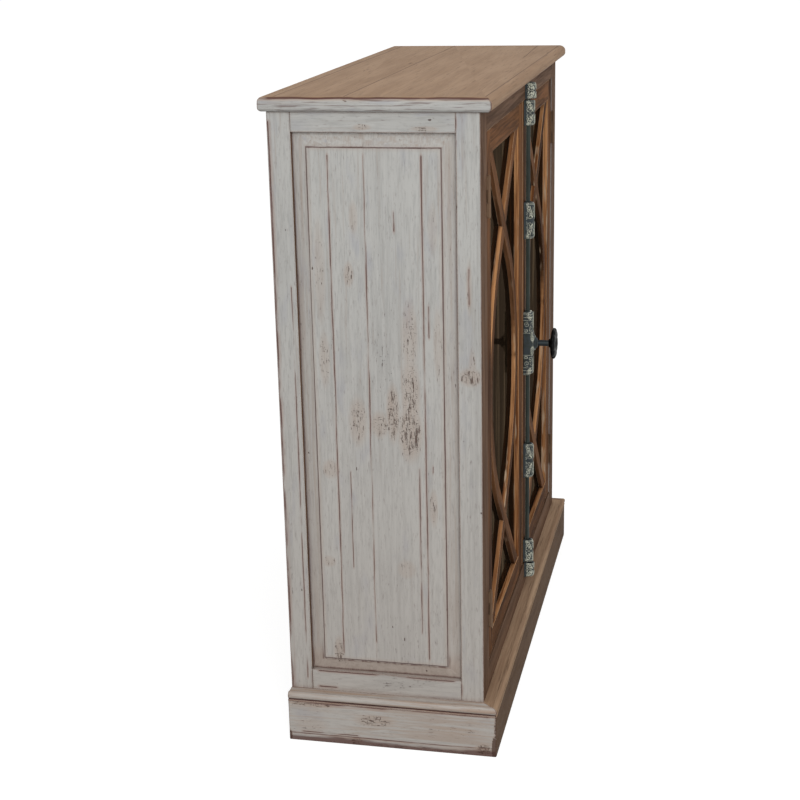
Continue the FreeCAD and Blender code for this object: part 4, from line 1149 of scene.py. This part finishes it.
class MakeKnob(CabinetStep, bpy.types.Operator):
    """The turned knob with petals round its rim"""

    bl_idname = "cabinet.make_knob"
    bl_label = "Make the knob"

    def execute(self, context):
        look = self.looks
        low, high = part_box("knob")
        middle = (low + high) / 2
        radius = (high.x - low.x) / 2 / MM
        depth = (high.y - low.y) / MM
        profile = (
            (4.6, 0), (7.8, 0.2), (8.0, 3.4), (11.0, 4.6), (18.0, 5.0), (24.5, 5.6), (radius, 7.4),
            (radius, 11.2), (26.0, 13.4), (20.5, 14.2), (15.0, 13.4), (12.0, 13.6), (9.0, 15.6),
            (4.0, depth - 0.3), (0.6, depth),
        )
        curve, _ = arc_points(profile, KNOB_RINGS)
        petals, notch = look.cast.petals, look.cast.notch / MM
        points, rubs, faces = [], [], []
        for reach, forward in curve:
            outer = np.clip((reach - 11) / (radius - 11), 0, 1)
            for turn in range(KNOB_STEPS):
                angle = 2 * math.pi * turn / KNOB_STEPS
                lobe = abs(math.cos(petals * angle / 2)) ** 0.55
                span = reach - notch * outer * (1 - lobe)
                rise = forward + (1.1 * outer * (1 - outer) * 4 * (lobe - 0.5) if forward > 8 else 0)
                sideways, upward = span * math.cos(angle) * MM, span * math.sin(angle) * MM
                points.append((middle.x + sideways, high.y - rise * MM, middle.z + upward))
                rubs.append(float(0.42 * outer * lobe))
        for row in range(len(curve) - 1):
            for turn in range(KNOB_STEPS):
                following = (turn + 1) % KNOB_STEPS
                base, above = row * KNOB_STEPS, (row + 1) * KNOB_STEPS
                faces.append((base + turn, above + turn, above + following, base + following))
        last = (len(curve) - 1) * KNOB_STEPS
        faces.append(tuple(range(KNOB_STEPS)))
        faces.append(tuple(last + turn for turn in reversed(range(KNOB_STEPS))))
        finish = new_finish("knob_iron")
        high_spots = finish.node("Attribute", {"attribute_name": "rub"}).output("Fac")
        grit = finish.noise(finish.place(), 500, 3)
        rub = finish.rise(high_spots + (grit - 0.5) * 0.5, 0.4, 0.9)
        colour = finish.mix(rub * 0.4, look.iron.black, look.iron.rod)
        layer = Layer(colour, 0.42 - rub * 0.08, grit)
        material = finish.surface(layer, 0.1 * MM, metallic=0.1, gloss=0.08)
        new_piece("turned_knob", (points, faces, rubs), "bolt_knob", "knob", material)
        return {"FINISHED"}


class SetStudio(CabinetStep, bpy.types.Operator):
    """Floor, white surround, soft light and the camera"""

    bl_idname = "cabinet.set_studio"
    bl_label = "Set the studio"

    def light(self, name, place, size, power):
        lamp = bpy.data.lights.new(name, "AREA")
        lamp.shape = "DISK"
        lamp.size = size
        lamp.energy = power
        holder = new_object(name, lamp)
        holder.location = place
        aim = Vector(LIGHT_AIM) - Vector(place)
        holder.rotation_euler = aim.to_track_quat("-Z", "Y").to_euler()

    def seen(self, finish):
        rays = finish.node("LightPath")
        return highest([rays.output(f"Is {kind} Ray") for kind in ("Camera", "Glossy", "Transmission")])

    def execute(self, context):
        studio, scene = self.looks.studio, context.scene
        scene.view_settings.view_transform = "Standard"

        world = bpy.data.worlds.new("white_surround")
        scene.world = world
        surround = Finish(world, "ShaderNodeOutputWorld")
        strength = studio.ambient + self.seen(surround) * (1 - studio.ambient)
        white = (1, 1, 1, 1)
        surround.end(surround.node("Background", None, {"Color": white, "Strength": strength}))

        mesh = bpy.data.meshes.new("studio_floor")
        corners = [(x * FLOOR_REACH, y * FLOOR_REACH, 0) for x, y in ((-1, -1), (1, -1), (1, 1), (-1, 1))]
        mesh.from_pydata(corners, [], [(0, 1, 2, 3)])
        new_object("studio_floor", mesh)
        paper = new_finish("white_paper")
        dull = paper.node("BsdfDiffuse", None, {"Color": (0.45, 0.45, 0.45, 1)})
        faint = paper.node("BsdfDiffuse", None, {"Color": (0.34, 0.34, 0.34, 1)})
        glow = paper.node("Emission", None, {"Color": white, "Strength": FLOOR_GLOW})
        bright = paper.node("AddShader", None, {0: faint, 1: glow})
        shown = paper.node("MixShader", None, {0: self.seen(paper), 1: dull, 2: bright})
        mesh.materials.append(paper.end(shown))

        self.light("key_light", KEY_PLACE, KEY_SIZE, studio.key)
        self.light("fill_light", FILL_PLACE, FILL_SIZE, studio.fill)

        camera = bpy.data.cameras.new("photo_camera")
        camera.lens = studio.lens
        camera.sensor_width = SENSOR_WIDTH
        holder = new_object("photo_camera", camera)
        flat, tilt = math.cos(studio.pitch), math.sin(studio.pitch)
        ahead = Vector((math.cos(studio.yaw) * flat, math.sin(studio.yaw) * flat, tilt))
        level = Vector((math.sin(studio.yaw), -math.cos(studio.yaw), 0))
        upward = level.cross(ahead)
        lean, stand = math.sin(studio.roll), math.cos(studio.roll)
        across = level * stand + upward * lean
        upward = upward * stand - level * lean
        turn = Matrix((across, upward, -ahead)).transposed().to_4x4()
        holder.matrix_world = Matrix.Translation(Vector(studio.eye)) @ turn
        scene.camera = holder
        return {"FINISHED"}


STEPS = (
    PaintSides, StainTop, StainFront, StainDoors, StainInside, GlazeDoors, FinishFittings, MakeGuides,
    MakeKeepers, MakeBoltCase, MakeKnob, SetStudio,
)


class CabinetPanel(bpy.types.Panel):
    """The steps of the cabinet in order"""

    bl_idname = "VIEW3D_PT_cabinet"
    bl_label = "Cabinet"
    bl_space_type = "VIEW_3D"
    bl_region_type = "UI"
    bl_category = "Cabinet"

    def draw(self, context):
        for step in STEPS:
            self.layout.operator(step.bl_idname)


GROUPS = (PaintLook, StainLook, IronLook, GlassLook, CastSizes, StudioLook, CabinetLooks)


def register():
    for kind in (*GROUPS, *STEPS, CabinetPanel):
        bpy.utils.register_class(kind)
    bpy.types.Scene.cabinet_looks = PointerProperty(type=CabinetLooks)


def unregister():
    del bpy.types.Scene.cabinet_looks
    for kind in reversed((*GROUPS, *STEPS, CabinetPanel)):
        bpy.utils.unregister_class(kind)


def main():
    register()
    for step in STEPS:
        group, name = step.bl_idname.split(".")
        getattr(getattr(bpy.ops, group), name)()


if __name__ == "__main__":
    main()
